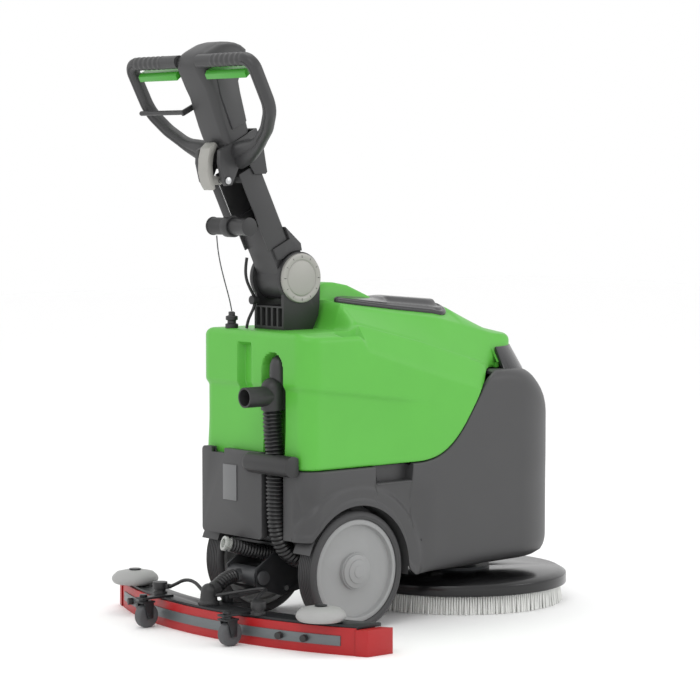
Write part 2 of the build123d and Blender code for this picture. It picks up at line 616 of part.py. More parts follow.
def trigger(side):
    """Squeeze bar under a grip, on a pin in the cowl's wall."""
    y0, y1 = sorted((side * 54, side * 196))
    bar = prism([(TRIGGER_D + 5, TRIGGER_S - 5), (TRIGGER_D + 5, TRIGGER_S + 5), (52, 246), (44, 240),
                 (44, 228), (52, 230)], y0, y1)
    p0, p1 = sorted((side * 44, side * 60))
    return on_head(bar + rod_y(TRIGGER_PIN_R, TRIGGER_D, TRIGGER_S, p0, p1))


def flow_lever():
    """Thin side lever for the solution flow, on the head's left."""
    stub = rod_y(ROD_STUB_R, ROD_D, ROD_S, 44, 60)
    crank = prism([(ROD_D + 8, ROD_S - 6), (ROD_D + 8, ROD_S + 6), (22, ROD_S + 6), (22, ROD_S - 6)], 51, 58)
    lever = rod_y(5.5, 28, ROD_S, 52, 216) + Pos(28, 216, ROD_S) * Sphere(5.5)
    return on_head(stub + crank + lever)


def tilt_lever():
    """Curved silver lever on the head's hinge pin, between the cheeks."""
    inner = [(-265, 1004), (-270, 1030), (-273, 1056), (-269, 1080), (-258, 1101)]
    outer = [(-266, 1108), (-281, 1094), (-287, 1070), (-288, 1040), (-280, 1012), (-271, 1000)]
    paddle = prism(inner + outer, -18, 18)
    ear = prism([(-272, 1012), (-272, 1034), (HEAD_X, HEAD_Z + 9), (HEAD_X, HEAD_Z - 9)], 14.6, 18)
    ear += rod_y(9, HEAD_X, HEAD_Z, 14.6, 18)
    return paddle + both_sides(ear) - rod_y(HINGE_PIN_R + RUN, HEAD_X, HEAD_Z, -30, 30)


# ---- squeegee -------------------------------------------------------------------------------
PLATE_LOW, PLATE_TOP = 58.0, 66.0
PLATE_R = (902.0, 961.0)
SWING_X, SWING_R = -222.0, 6.0
ELBOW_X = -275.0
KNOB_X, KNOB_Y = -277.0, 183.0
ROLLER_X, ROLLER_Y, ROLLER_R, ROLLER_H = -231.7, 345.0, 55.7, 34.0
ROLLER_BOLT_R = 8.0


def arc_band(r0, r1, z0, z1, half, half_from=0.0):
    """Part of a ring about the squeegee's centre of curvature."""
    band = rod_z(r1, SQUEEGEE_ARC_X, 0, z0, z1) - rod_z(r0, SQUEEGEE_ARC_X, 0, z0, z1)
    band &= block(-400, -100, -half, half, z0, z1)
    return band - block(-400, -100, -half_from, half_from, z0, z1) if half_from else band


def squeegee_plate():
    """Curved carrier with the tongue for the swing bolt, caster tabs and roller studs."""
    plate = arc_band(*PLATE_R, PLATE_LOW, PLATE_TOP, 432)
    plate += block(-250, SWING_X + 20, -30, 30, PLATE_LOW, PLATE_TOP)
    plate += rod_z(SWING_R, SWING_X, 0, PLATE_TOP, 90) + rod_z(12, SWING_X, 0, 86.5, 90)
    swivel_x = CASTER_X - CASTER_TRAIL
    tab = block(swivel_x - 14, -270, CASTER_Y - 16, CASTER_Y + 9, PLATE_TOP, PLATE_TOP + 5)
    tab -= rod_z(5 + RUN, swivel_x, CASTER_Y, PLATE_TOP - 1, PLATE_TOP + 6)
    stud = rod_z(ROLLER_BOLT_R, ROLLER_X, ROLLER_Y, PLATE_TOP, PLATE_TOP + 1 + ROLLER_H)
    stud += rod_z(14, ROLLER_X, ROLLER_Y, PLATE_TOP + 1.3 + ROLLER_H, PLATE_TOP + 4 + ROLLER_H)
    stud += rod_z(ROLLER_BOLT_R, ROLLER_X, ROLLER_Y, PLATE_TOP + ROLLER_H, PLATE_TOP + 2 + ROLLER_H)
    mouth = rod_z(16, ELBOW_X, 0, PLATE_LOW - 1, PLATE_TOP + 1)
    return plate + both_sides(tab + stud) - mouth


def rubber_blades():
    """Rear and front wiping blades."""
    rear = arc_band(PLATE_R[1], BLADE_R, 0, 60, 430)
    front = arc_band(PLATE_R[0] + 6, PLATE_R[0] + 10, 0, PLATE_LOW, 425)
    return rear + front


def blade_strip():
    """Metal strip that clamps the rear blade."""
    return arc_band(BLADE_R, BLADE_R + 3, 20, 42, 400)


def end_caps():
    cap = arc_band(PLATE_R[0] + 4, BLADE_R + 3, 0, 57.5, BLADE_HALF, 432.5)
    return cap


def strip_knobs():
    """Small black knobs that tighten the strip, two each side."""
    knobs = Part()
    for y in (-320, -258, 258, 320):
        angle = math.asin(y / BLADE_R)
        out = Vector(-math.cos(angle), math.sin(angle), 0)
        foot = Vector(SQUEEGEE_ARC_X, 0, 31) + out * (BLADE_R + 3)
        knobs += extrude(Plane(origin=foot, z_dir=out) * Circle(8), 12)
    return knobs


def mount_knobs():
    """Two round hand knobs with a side eye for the tether."""
    knob = rod_z(17, KNOB_X, KNOB_Y, PLATE_TOP, 74) + rod_z(13, KNOB_X, KNOB_Y, 74, 80)
    knob += rod_z(17, KNOB_X, KNOB_Y, 80, 96)
    return both_sides(knob + block(KNOB_X + 2, KNOB_X + 14, KNOB_Y - 26, KNOB_Y - 12, 82, 92))


def suction_elbow():
    """Socket over the plate's mouth that turns forward to the hose."""
    cone = turned([(0, 66), (24, 66), (24, 72), (20, 76), (18, 96), (0, 96)])
    body = Pos(ELBOW_X, 0, 0) * cone + Pos(ELBOW_X, 0, 96) * Sphere(18)
    body += rod(18, (ELBOW_X, 0, 90), (ELBOW_X + 24, 1.5, 103))
    return body - rod_z(14, ELBOW_X, 0, 60, 92)


SUCTION_D = 38.0
SUCTION_ROUTE = [(-249, 2, 104), (-238, 3, 111), (-224, 5, 117.5), (-210, 7, 121), (-198.2, 8, 122)]
TETHER_D = 8.0
LEFT_TETHER = [(-269, 155, 87.5), (-266, 138, 94), (-263, 115, 106), (-262, 88, 110), (-264, 62, 106),
               (-268, 41, 98), (-271, 24, 91)]
RIGHT_TETHER = [(-267, -153.5, 88), (-256, -142, 91.5), (-236, -134, 99), (-214, -126, 105), (-196, -110, 106),
                (-200, -86, 104), (-222, -69, 100), (-247, -53, 96), (-264, -38, 92), (-271, -24, 89)]


def caster_fork(side):
    """Swivelling fork with its stem and the wheel's pin."""
    x, y = CASTER_X - CASTER_TRAIL, side * CASTER_Y
    top = block(x - 14, x + 22, y - 16, y + 16, 57.5, 61.5)
    stem = rod_z(5, x, y, 61, PLATE_TOP + 8) + rod_z(11, x, y, 61, PLATE_TOP - 0.5)
    nut = rod_z(9, x, y, PLATE_TOP + 5.5, PLATE_TOP + 11)
    legs = both_sides(prism([(x - 8, 57.5), (x + 18, 57.5), (CASTER_X + 8, CASTER_R - 6),
                             (CASTER_X - 6, CASTER_R - 6)], 13, 16))
    pin = rod_y(4, CASTER_X, CASTER_R, -18, 18)
    return top + stem + nut + Pos(0, y, 0) * (legs + pin)


def caster_wheel(side):
    wheel = turned([(4 + RUN, -11), (16, -11), (CASTER_R - 3, -11), (CASTER_R, -8), (CASTER_R, 8),
                    (CASTER_R - 3, 11), (16, 11), (4 + RUN, 11)])
    return Pos(0, side * CASTER_Y, 0) * on_wheel_axis(wheel, 1, CASTER_X, CASTER_R)


def bumper_roller(side):
    """Domed wall roller."""
    low = PLATE_TOP + 1
    points = [(ROLLER_BOLT_R + RUN, low), (30, low), (ROLLER_R - 6, low + 3), (ROLLER_R, low + 11),
              (ROLLER_R - 2, low + 20), (ROLLER_R - 12, low + 29), (22, low + ROLLER_H),
              (ROLLER_BOLT_R + RUN, low + ROLLER_H)]
    return Pos(ROLLER_X, side * ROLLER_Y, 0) * turned(points)


def squeegee_arm():
    """Lift arm between the chassis cheeks and the swing bolt, with its pin."""
    hub = rod_y(12, ARM_X, ARM_Z, -45, 45)
    plate = prism([(ARM_X, 84), (ARM_X, 94), (SWING_X + 10, 84), (SWING_X - 8, 84), (SWING_X - 8, 76),
                   (SWING_X + 10, 76)], -16, 16)
    boss = rod_z(14, SWING_X, 0, PLATE_TOP + 0.5, 86)
    arm = hub + plate + boss - rod_z(SWING_R + RUN, SWING_X, 0, 60, 95)
    return arm - rod_y(ARM_PIN_R + RUN, ARM_X, ARM_Z, -60, 60)


def arm_pin():
    return rod_y(ARM_PIN_R, ARM_X, ARM_Z, -CHEEK_Y[1] - 2, CHEEK_Y[1] + 2)


# ---- wire and cable -------------------------------------------------------------------------
GUIDE_X, GUIDE_Y = -128.0, 102.0


def wire_guide():
    """Flanged guide and clamp that the lift wire goes down through."""
    z = TANK_REAR_TOP
    points = [(0, z), (15, z), (15, z + 9), (10, z + 11), (10, z + 17), (14, z + 19), (14, z + 27),
              (8, z + 29), (5, z + 38), (0, z + 38)]
    wings = block(GUIDE_X - 2, GUIDE_X + 2, GUIDE_Y - 10, GUIDE_Y + 10, z + 29, z + 37)
    return Pos(GUIDE_X, GUIDE_Y, 0) * turned(points) + wings


WIRE_D = 3.0
WIRE_ROUTE = [(-203, 60, 897), (-200, 61.5, 872), (-189, 66, 834), (-171, 75, 797), (-152, 86, 765),
              (-137, 96, 741), (-128, 102, 721.2)]
CABLE_D = 7.0
CABLE_ROUTE = [(-134, 37, 846), (-137, 39, 824), (-133, 42, 798), (-121, 43.5, 776), (-110, 44, 760),
               (-106, 44, 745), (-107, 46, 730), (-113, 50, 715), (-119, 54, 699), (-120.5, 56, 683)]


# ---- writing --------------------------------------------------------------------------------
def pieces():
    yield "lower_body", lower_body()
    yield "recovery_tank", recovery_tank()
    yield "tank_lid", tank_lid()
    yield "front_cover", front_cover()
    yield "rear_panel", rear_panel()
    yield "hose_bar", hose_bar()
    yield "drain_hose", hose("drain_hose", HOSE_ROUTE, HOSE_D)
    yield "drain_elbow", drain_elbow()
    yield "solution_hose", hose("solution_hose", SOLUTION_ROUTE, SOLUTION_D)
    yield "solution_nozzle", solution_nozzle()
    yield "chassis_frame", chassis_frame()
    yield "axle", axle()
    yield "suction_manifold", suction_manifold()
    yield "batteries", batteries()
    yield "vacuum_motor", vacuum_motor()
    yield "brush_motor", brush_motor()
    yield "deck_cover", deck_cover()
    yield "brush_block", brush_block()
    yield "brush_bristles", brush_bristles()
    yield "column_base", column_base()
    yield "pivot_bolt", pivot_bolt()
    yield "column_foot", column_foot()
    yield "column_channel", column_channel()
    yield "drum_bracket", drum_bracket()
    yield "lift_drum", lift_drum()
    yield "head_cowl", head_cowl()
    yield "head_clevis", head_clevis()
    yield "head_pin", head_pin()
    yield "tilt_lever", tilt_lever()
    yield "flow_lever", flow_lever()
    yield "wire_guide", wire_guide()
    yield "lift_wire", hose("lift_wire", WIRE_ROUTE, WIRE_D)
    yield "control_cable", hose("control_cable", CABLE_ROUTE, CABLE_D)
    yield "squeegee_arm", squeegee_arm()
    yield "arm_pin", arm_pin()
    yield "squeegee_plate", squeegee_plate()
    yield "rubber_blades", rubber_blades()
    yield "blade_strip", blade_strip()
    yield "end_caps", end_caps()
    yield "strip_knobs", strip_knobs()
    yield "mount_knobs", mount_knobs()
    yield "suction_elbow", suction_elbow()
    yield "suction_hose", hose("suction_hose", SUCTION_ROUTE, SUCTION_D)
    yield "knob_tethers", (hose("left_tether", LEFT_TETHER, TETHER_D)
                           + hose("right_tether", RIGHT_TETHER, TETHER_D))
    for side, name in ((-1, "right"), (1, "left")):
        yield f"tyre_{name}", tyre(side)
        yield f"rim_{name}", rim(side)
        yield f"hub_cap_{name}", hub_cap(side)
        yield f"handle_loop_{name}", handle_loop(side)
        yield f"trigger_{name}", trigger(side)
        yield f"caster_fork_{name}", caster_fork(side)
        yield f"caster_wheel_{name}", caster_wheel(side)
        yield f"bumper_roller_{name}", bumper_roller(side)


def main():
    os.makedirs("parts", exist_ok=True)
    for name, shape in pieces():
        export_step(Pos(-ORIGIN_X, 0, 0) * shape, f"parts/{name}.step")


if __name__ == "__main__":
    main()
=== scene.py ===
"""Floor scrubber machine: its looks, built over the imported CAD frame.

Laid out as an add-on: settings, one operator per group of pieces, one for the stage, a panel.
Sizes are in millimetres from the transport axle and become metres in the frame through at().
"""

import json
import math

import bmesh
import bpy
from mathutils import Matrix, Vector

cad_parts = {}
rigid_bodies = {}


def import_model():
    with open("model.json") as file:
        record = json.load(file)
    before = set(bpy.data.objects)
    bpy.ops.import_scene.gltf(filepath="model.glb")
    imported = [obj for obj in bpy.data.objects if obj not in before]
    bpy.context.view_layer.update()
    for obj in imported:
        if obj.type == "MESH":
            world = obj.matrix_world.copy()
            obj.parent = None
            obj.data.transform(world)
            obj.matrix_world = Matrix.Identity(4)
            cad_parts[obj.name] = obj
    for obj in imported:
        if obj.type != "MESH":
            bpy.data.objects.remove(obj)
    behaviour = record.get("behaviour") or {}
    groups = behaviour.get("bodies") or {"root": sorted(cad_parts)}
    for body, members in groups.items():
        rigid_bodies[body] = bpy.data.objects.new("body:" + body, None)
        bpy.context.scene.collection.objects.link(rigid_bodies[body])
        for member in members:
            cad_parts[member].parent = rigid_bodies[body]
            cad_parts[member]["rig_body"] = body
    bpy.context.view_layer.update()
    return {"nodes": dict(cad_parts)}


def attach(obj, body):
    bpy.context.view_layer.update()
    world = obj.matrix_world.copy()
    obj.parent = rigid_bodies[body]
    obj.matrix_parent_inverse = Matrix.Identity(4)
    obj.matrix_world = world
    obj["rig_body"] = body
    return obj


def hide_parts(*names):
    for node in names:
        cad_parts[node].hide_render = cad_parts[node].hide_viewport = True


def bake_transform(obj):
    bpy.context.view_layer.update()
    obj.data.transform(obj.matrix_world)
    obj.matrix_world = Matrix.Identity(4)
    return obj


bl_info = {
    "name": "Floor Scrubber Machine",
    "version": (1, 0, 0),
    "blender": (4, 5, 0),
    "location": "View3D > Sidebar > Scrubber",
    "description": "Builds a walk-behind floor scrubber over its CAD frame",
    "category": "Add Mesh",
}

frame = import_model()

ORIGIN_X = 194.65        # the frame's origin, ahead of the transport axle
BODY_REAR = -152.0       # rear face of both shells
PIVOT_X, PIVOT_Z = -52.0, 800.0                      # the column's fold axis
HEAD_X, HEAD_Z, HEAD_LEAN = -252.0, 1022.0, 27.0     # the head's hinge, and degrees it leans back
MATS = {}                # finishes by short name, filled by main()


# ---- places and curves ----------------------------------------------------------------------
def at(x, y, z):
    """A place given in millimetres from the axle, in the frame's metres."""
    return Vector((x - ORIGIN_X, y, z)) / 1000


def leaning(x0, z0, lean):
    """A frame that leans back: local X forward, Z up along the lean."""
    return Matrix.Translation(at(x0, 0, z0)) @ Matrix.Rotation(math.radians(-lean), 4, "Y")


def on_head(d, y, s):
    return leaning(HEAD_X, HEAD_Z, HEAD_LEAN) @ (Vector((d, y, s)) / 1000)


def mix(a, b, t):
    return a + (b - a) * t


def step_up(low, high, x):
    t = min(max((x - low) / (high - low), 0), 1)
    return t * t * (3 - 2 * t)


def along(x, stops):
    """Straight runs between (x, value) stops."""
    if x <= stops[0][0]:
        return stops[0][1]
    for (x0, v0), (x1, v1) in zip(stops, stops[1:]):
        if x <= x1:
            return mix(v0, v1, (x - x0) / (x1 - x0))
    return stops[-1][1]


def rounded_outline(corners, step):
    """Points round a closed outline of (x, y, corner radius), with step(x, y) between them."""
    count, out = len(corners), []
    for i, (x, y, radius) in enumerate(corners):
        here = Vector((x, y))
        back = (Vector(corners[i - 1][:2]) - here).normalized()
        ahead = (Vector(corners[(i + 1) % count][:2]) - here).normalized()
        half = back.angle(ahead) / 2
        reach = radius / math.tan(half)
        start, end = here + back * reach, here + ahead * reach
        centre = here + (back + ahead).normalized() * (radius / math.sin(half))
        turn = math.pi - 2 * half
        side = 1 if back.cross(ahead) < 0 else -1
        pieces = max(3, int(radius * turn / step(x, y)))
        first = start - centre
        for k in range(pieces + 1):
            angle = side * turn * k / pieces
            out.append(centre + Matrix.Rotation(angle, 2) @ first)
        nx, ny, nr = corners[(i + 1) % count]
        onward = (Vector(corners[(i + 2) % count][:2]) - Vector((nx, ny))).normalized()
        gap = (-ahead).angle(onward) / 2
        stop = Vector((nx, ny)) - ahead * (nr / math.tan(gap))
        run = stop - end
        cells = max(1, int(run.length / step((x + nx) / 2, (y + ny) / 2)))
        out += [end + run * (k / cells) for k in range(1, cells)]
    tidy = [p for p, q in zip(out, out[1:] + out[:1]) if (p - q).length > 0.2]
    normals = []
    for k, p in enumerate(tidy):
        way = (tidy[(k + 1) % len(tidy)] - tidy[k - 1]).normalized()
        normals.append(Vector((-way.y, way.x)))
    return tidy, normals


def spline_points(points, resolution=14):
    """Points along a smooth line through a route, read from its NURBS spline."""
    data = bpy.data.curves.new("route", "CURVE")
    data.dimensions = "3D"
    data.resolution_u = resolution
    spline = data.splines.new("NURBS")
    spline.points.add(len(points) - 1)
    for point, place in zip(spline.points, points):
        point.co = (*place, 1)
    spline.order_u = 3
    spline.use_endpoint_u = True
    holder = bpy.data.objects.new("route", data)
    bpy.context.scene.collection.objects.link(holder)
    bpy.context.view_layer.update()
    mesh = bpy.data.meshes.new_from_object(holder)
    line = [v.co.copy() for v in mesh.vertices]
    bpy.data.meshes.remove(mesh)
    bpy.data.objects.remove(holder)
    bpy.data.curves.remove(data)
    return line


def evenly(line, spacing):
    """The same line at an even spacing, with its ends kept."""
    lengths = [0]
    for a, b in zip(line, line[1:]):
        lengths.append(lengths[-1] + (b - a).length)
    count = max(2, round(lengths[-1] / spacing))
    out, k = [], 0
    for i in range(count + 1):
        want = lengths[-1] * i / count
        while k < len(lengths) - 2 and lengths[k + 1] < want:
            k += 1
        share = (want - lengths[k]) / max(lengths[k + 1] - lengths[k], 1e-9)
        out.append(line[k].lerp(line[k + 1], min(max(share, 0), 1)))
    return out


# ---- mesh building --------------------------------------------------------------------------
def ring_faces(bm, low, high):
    for i in range(len(low)):
        k = (i + 1) % len(low)
        bm.faces.new((low[i], low[k], high[k], high[i]))


def loft(bm, rings, caps=True):
    """Quads between closed rings of places, with flat ends."""
    made = [[bm.verts.new(p) for p in ring] for ring in rings]
    for low, high in zip(made, made[1:]):
        ring_faces(bm, low, high)
    if caps:
        bm.faces.new(list(reversed(made[0])))
        bm.faces.new(made[-1])
    return made


def swept(bm, line, section, up=Vector((0, 0, 1)), caps=True):
    """Carries section(share, index), a list of (side, lift) in metres, along a line."""
    rings, side = [], None
    last = len(line) - 1
    for i, p in enumerate(line):
        way = (line[min(i + 1, last)] - line[max(i - 1, 0)]).normalized()
        if side is None:
            side = way.cross(up)
            side = side if side.length > 1e-3 else way.cross(Vector((0, 1, 0)))
        side = (side - way * side.dot(way)).normalized()
        lift = side.cross(way)
        rings.append([p + side * a + lift * b for a, b in section(i / last, i)])
    return loft(bm, rings, caps)


def circle(radius, sides):
    return [(radius * math.cos(a), radius * math.sin(a))
            for a in (2 * math.pi * k / sides for k in range(sides))]


def rounded_rect(width, height, radius, sides=4):
    out = []
    for qx, qy, start in ((1, 1, 0), (-1, 1, 90), (-1, -1, 180), (1, -1, 270)):
        for k in range(sides + 1):
            a = math.radians(start + 90 * k / sides)
            out.append((qx * (width / 2 - radius) + radius * math.cos(a),
                        qy * (height / 2 - radius) + radius * math.sin(a)))
    return out


def spun(bm, profile, place, sides=96):
    """Turns a profile of (radius, height) in millimetres about place's local Z."""
    verts = [bm.verts.new(place @ (Vector((r, 0, h)) / 1000)) for r, h in profile]
    edges = [bm.edges.new(pair) for pair in zip(verts, verts[1:])]
    centre = place.to_translation()
    bmesh.ops.spin(bm, geom=verts + edges, cent=centre, axis=(place.to_3x3() @ Vector((0, 0, 1))),
                   angle=math.tau, steps=sides, use_merge=True)


def box(bm, low, high, place=None):
    """A box between two corners in millimetres, in the axle's places or a local frame."""
    centre = [(a + b) / 2 for a, b in zip(low, high)]
    size = [abs(b - a) / 1000 for a, b in zip(low, high)]
    where = Matrix.Translation(at(*centre)) if place is None else place @ Matrix.Translation(
        Vector(centre) / 1000)
    bmesh.ops.create_cube(bm, size=1, matrix=where @ Matrix.Diagonal((*size, 1)))


def piece(name, bm, material, body, replaces=(), bevel=0.0, sharp=35, weld=True):
    """Finishes a mesh: welds it, rounds its edges, faces it outwards, shades it and mounts it."""
    if weld:
        bmesh.ops.remove_doubles(bm, verts=bm.verts, dist=2e-5)
    bmesh.ops.recalc_face_normals(bm, faces=bm.faces)
    if bevel:
        limit = math.radians(sharp)
        edges = [e for e in bm.edges if e.is_manifold and e.calc_face_angle(0) > limit]
        bmesh.ops.bevel(bm, geom=edges, offset=bevel / 1000, segments=2, profile=0.5, affect="EDGES",
                        clamp_overlap=True, material=-1)
    for face in bm.faces:
        face.smooth = True
    for edge in bm.edges:
        edge.smooth = not edge.is_manifold or edge.calc_face_angle(0) < math.radians(42)
    mesh = bpy.data.meshes.new(name)
    bm.to_mesh(mesh)
    bm.free()
    mesh.materials.append(material)
    made = bpy.data.objects.new(name, mesh)
    bpy.context.scene.collection.objects.link(made)
    if body:
        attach(made, body)
    if replaces:
        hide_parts(*replaces)
    return made


def softened(node, material, width, sharp=30):
    """A CAD node's own shape with its edges rounded, in place of the node."""
    source = frame["nodes"][node]
    bm = bmesh.new()
    bm.from_mesh(source.data)
    bmesh.ops.remove_doubles(bm, verts=bm.verts, dist=1e-5)
    bmesh.ops.dissolve_limit(bm, angle_limit=math.radians(1.5), verts=bm.verts, edges=bm.edges)
    return piece("soft_" + node, bm, material, source["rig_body"], (node,),
                 bevel=width, sharp=sharp, weld=False)


# ---- materials ------------------------------------------------------------------------------
def linear(code):
    """An sRGB hex colour as linear RGBA."""
    out = []
    for k in (0, 2, 4):
        c = int(code[k:k + 2], 16) / 255
        out.append(c / 12.92 if c <= 0.04045 else ((c + 0.055) / 1.055) ** 2.4)
    return (*out, 1)


def add_node(tree, kind, inputs=None, **settings):
    node = tree.nodes.new(kind)
    for key, value in settings.items():
        setattr(node, key, value)
    for key, value in (inputs or {}).items():
        if isinstance(value, bpy.types.NodeSocket):
            tree.links.new(value, node.inputs[key])
        else:
            node.inputs[key].default_value = value
    return node


def surface(name, code, rough, metallic=0.0, grain=1.2, depth=0.05, mottle=0.06,
            stretch=(1, 1, 1), **more):
    """A worn-in surface. code is an sRGB hex colour, or a linear one from the settings. grain and
    depth are the texture's size and height in millimetres, stretch its lengthening along each
    axis, and mottle the share by which colour wanders."""
    material = bpy.data.materials.new(name)
    material.use_nodes = True
    tree = material.node_tree
    shader = tree.nodes["Principled BSDF"]
    coords = add_node(tree, "ShaderNodeTexCoord").outputs["Object"]
    laid = add_node(tree, "ShaderNodeMapping", {"Vector": coords, "Scale": [1 / s for s in stretch]})
    fine = add_node(tree, "ShaderNodeTexNoise", {"Vector": laid.outputs[0], "Scale": 1000 / (2 * grain),
                                                 "Detail": 3.0, "Roughness": 0.55})
    broad = add_node(tree, "ShaderNodeTexNoise", {"Vector": coords, "Scale": 9.0, "Detail": 4.0,
                                                  "Roughness": 0.6})
    colour = linear(code) if isinstance(code, str) else tuple(code)
    dark = [c * (1 - mottle) for c in colour[:3]] + [1]
    light = [min(c * (1 + mottle), 1) for c in colour[:3]] + [1]
    wander = add_node(tree, "ShaderNodeMix", {"Factor": broad.outputs["Fac"], "A": dark, "B": light},
                      data_type="RGBA")
    tree.links.new(wander.outputs["Result"], shader.inputs["Base Color"])
    gloss = add_node(tree, "ShaderNodeMapRange", {"Value": fine.outputs["Fac"],
                                                  "To Min": max(rough - 0.05, 0.03),
                                                  "To Max": rough + 0.05})
    tree.links.new(gloss.outputs[0], shader.inputs["Roughness"])
    bump = add_node(tree, "ShaderNodeBump", {"Height": fine.outputs["Fac"], "Distance": depth / 1000,
                                             "Strength": 1.0})
    tree.links.new(bump.outputs[0], shader.inputs["Normal"])
    shader.inputs["Metallic"].default_value = metallic
    for key, value in more.items():
        shader.inputs[key.replace("_", " ")].default_value = value
    return material


def make_materials():
    """Every finish, named for the real material and how it was made."""
    look = bpy.context.scene.scrubber
    return {
        # rotationally moulded polyethylene: satin, a fine mould grain breaks up the highlights
        "green": surface("green_rotomoulded_polyethylene", look.tank_colour, 0.42,
                         grain=1.6, depth=0.06),
        # the same moulding in charcoal, a little duller
        "grey": surface("charcoal_rotomoulded_polyethylene", look.shell_colour, 0.46,
                        grain=1.6, depth=0.07),
        # injection moulded ABS off a plain tool: smooth and flat, a soft sheen
        "plate": surface("grey_moulded_blank_plate", "6A6B6C", 0.35, grain=0.6, depth=0.02),
        # injection moulded ABS off a polished tool: clear highlights, slightly wavy
        "gloss": surface("black_polished_abs", "2A2A2C", 0.2, grain=6, depth=0.02, mottle=0.08),
        # injection moulded nylon, spark-eroded tool: a fine even texture, wide soft highlights
        "black": surface("black_textured_nylon", "272728", 0.47, grain=0.8, depth=0.05, mottle=0.1),
        # the same for the parts a hand holds, a shade lighter
        "handle": surface("grey_black_textured_nylon", "343435", 0.45, grain=0.9, depth=0.06,
                          mottle=0.08),
        # moulded polypropylene: smooth, a slightly waxy sheen
        "trigger": surface("green_moulded_polypropylene", "3E9A2B", 0.35, grain=2, depth=0.02),
        # moulded nylon under aluminium-look paint: part metallic, nearly even
        "silver": surface("warm_silver_painted_nylon", "9C9B96", 0.42, metallic=0.25, grain=0.4,
                          depth=0.015, mottle=0.04),
        # zinc-plated steel: fully metallic, faintly blotched
        "zinc": surface("zinc_plated_steel", "B9BABB", 0.32, metallic=1.0, grain=0.7, depth=0.01,
                        mottle=0.12),
        # cut steel plate, electrocoated: near black with a low metallic sheen
        "coated": surface("black_coated_steel", "262729", 0.38, metallic=0.3, grain=1.1, depth=0.02),
        # painted steel strip: half metallic, its grain drawn out along its length
        "strip": surface("grey_painted_steel_strip", "6C7173", 0.4, metallic=0.55, grain=0.5,
                         depth=0.012, stretch=(1, 8, 1)),
        # moulded polypropylene in dark grey: satin
        "manifold": surface("grey_moulded_polypropylene", "3A3B3D", 0.4, grain=1.2, depth=0.03),
        # moulded nylon in light grey: satin and even
        "wheel": surface("light_grey_moulded_nylon", look.wheel_colour, 0.44, grain=1.0, depth=0.03,
                         mottle=0.03),
        # cast polyurethane: pale, even, a soft sheen
        "roller": surface("pale_grey_cast_polyurethane", "9E9E9D", 0.5, grain=1.4, depth=0.03,
                          mottle=0.04),
        # cast rubber: dull, mid grey
        "caster": surface("dark_grey_cast_rubber", "4C4D4F", 0.55, grain=1.0, depth=0.05),
        # solid rubber: the dullest finish here, its grey slightly uneven
        "tyre": surface("grey_black_solid_rubber", "3B3B3C", 0.6, grain=0.7, depth=0.06, mottle=0.1),
        # extruded gum rubber: deep red with a soft sheen
        "red": surface("red_extruded_gum_rubber", look.blade_colour, 0.42, grain=1.5, depth=0.03,
                       mottle=0.07),
        # corrugated PVC: shiny enough for each rib to catch a highlight
        "hose": surface("black_corrugated_pvc", "19191A", 0.3, grain=0.9, depth=0.03, mottle=0.12),
        # corrugated PVC in charcoal: a little duller
        "hose_grey": surface("charcoal_corrugated_pvc", "29292A", 0.38, grain=0.9, depth=0.03),
        # natural polypropylene: milky, lets some light through
        "clear": surface("translucent_polypropylene", "C6C9C4", 0.28, grain=1.0, depth=0.02,
                         Transmission_Weight=0.35),
        # extruded PVC sheath: black and satin
        "cable": surface("black_extruded_pvc_sheath", "19191A", 0.42, grain=0.6, depth=0.02),
        # stranded steel: metallic grey, a long grain stands in for the strands
        "wire": surface("stranded_steel_wire", "5C5D5E", 0.35, metallic=0.9, grain=0.3, depth=0.05,
                        stretch=(1, 1, 4)),
        # moulded polypropylene off a polished tool: near black with clear highlights
        "deck": surface("black_moulded_polypropylene", "141415", 0.22, grain=1.4, depth=0.03),
        # moulded brush disc: grey and dull
        "brush": surface("grey_moulded_brush_disc", "3A3A3B", 0.5, grain=1.2, depth=0.04),
        # nylon filament: pale and dull, streaked along its length
        "bristle": surface("pale_nylon_bristle", "DADBD8", 0.55, grain=0.35, depth=0.2, mottle=0.14,
                           stretch=(1, 1, 30)),
        # moulded battery case: dark and satin
        "battery": surface("black_battery_polypropylene", "2E3033", 0.45),
        # painted steel housing: dark, a low metallic sheen
        "motor": surface("painted_motor_housing", "3A3D40", 0.4, metallic=0.3),
    }


# ---- tank and lower shell -------------------------------------------------------------------
SEAM = ((-152, 372), (210, 372), (262, 386), (312, 424), (350, 476), (385, 530), (425, 574), (700, 568))
def seam(x):
    """The seam's height, with the corners of its run eased."""
    return sum(along(x + 6 * k, SEAM) for k in range(-4, 5)) / 9


SHOULDER = ((-60, 674), (15, 650), (191, 595), (383, 541), (455, 515), (604, 500))
GROOVE = ((-60, 690), (12, 700), (40, 694), (228, 648), (455, 582), (604, 560))
CROWN_EDGE = ((0, 745), (91, 730), (211, 712), (332, 697), (401, 680), (506, 654), (604, 642))
CROWN = ((0, 750), (204, 733), (404, 716), (414, 722), (520, 669), (577, 655), (604, 643))
SWELL = ((12, 684), (26, 748), (40, 776), (54, 785), (84, 785), (128, 777), (196, 749), (214, 730))
NICHE_Y, NICHE_TOP, NICHE_DEPTH = (-112.0, -42.0), 632.0, 28.0
SLOT_Y, SLOT_Z, SLOT_DEPTH = (2.0, 48.0), (516.0, 650.0), 20.0


def inside(y, z, ys, zs, edge):
    """1 within a rectangle, 0 outside it, easing over the edge's width."""
    half = edge / 2

    def between(value, limits):
        return step_up(limits[0] - half, limits[0] + half, value) * (
            1 - step_up(limits[1] - half, limits[1] + half, value))

    return between(y, ys) * between(z, zs)


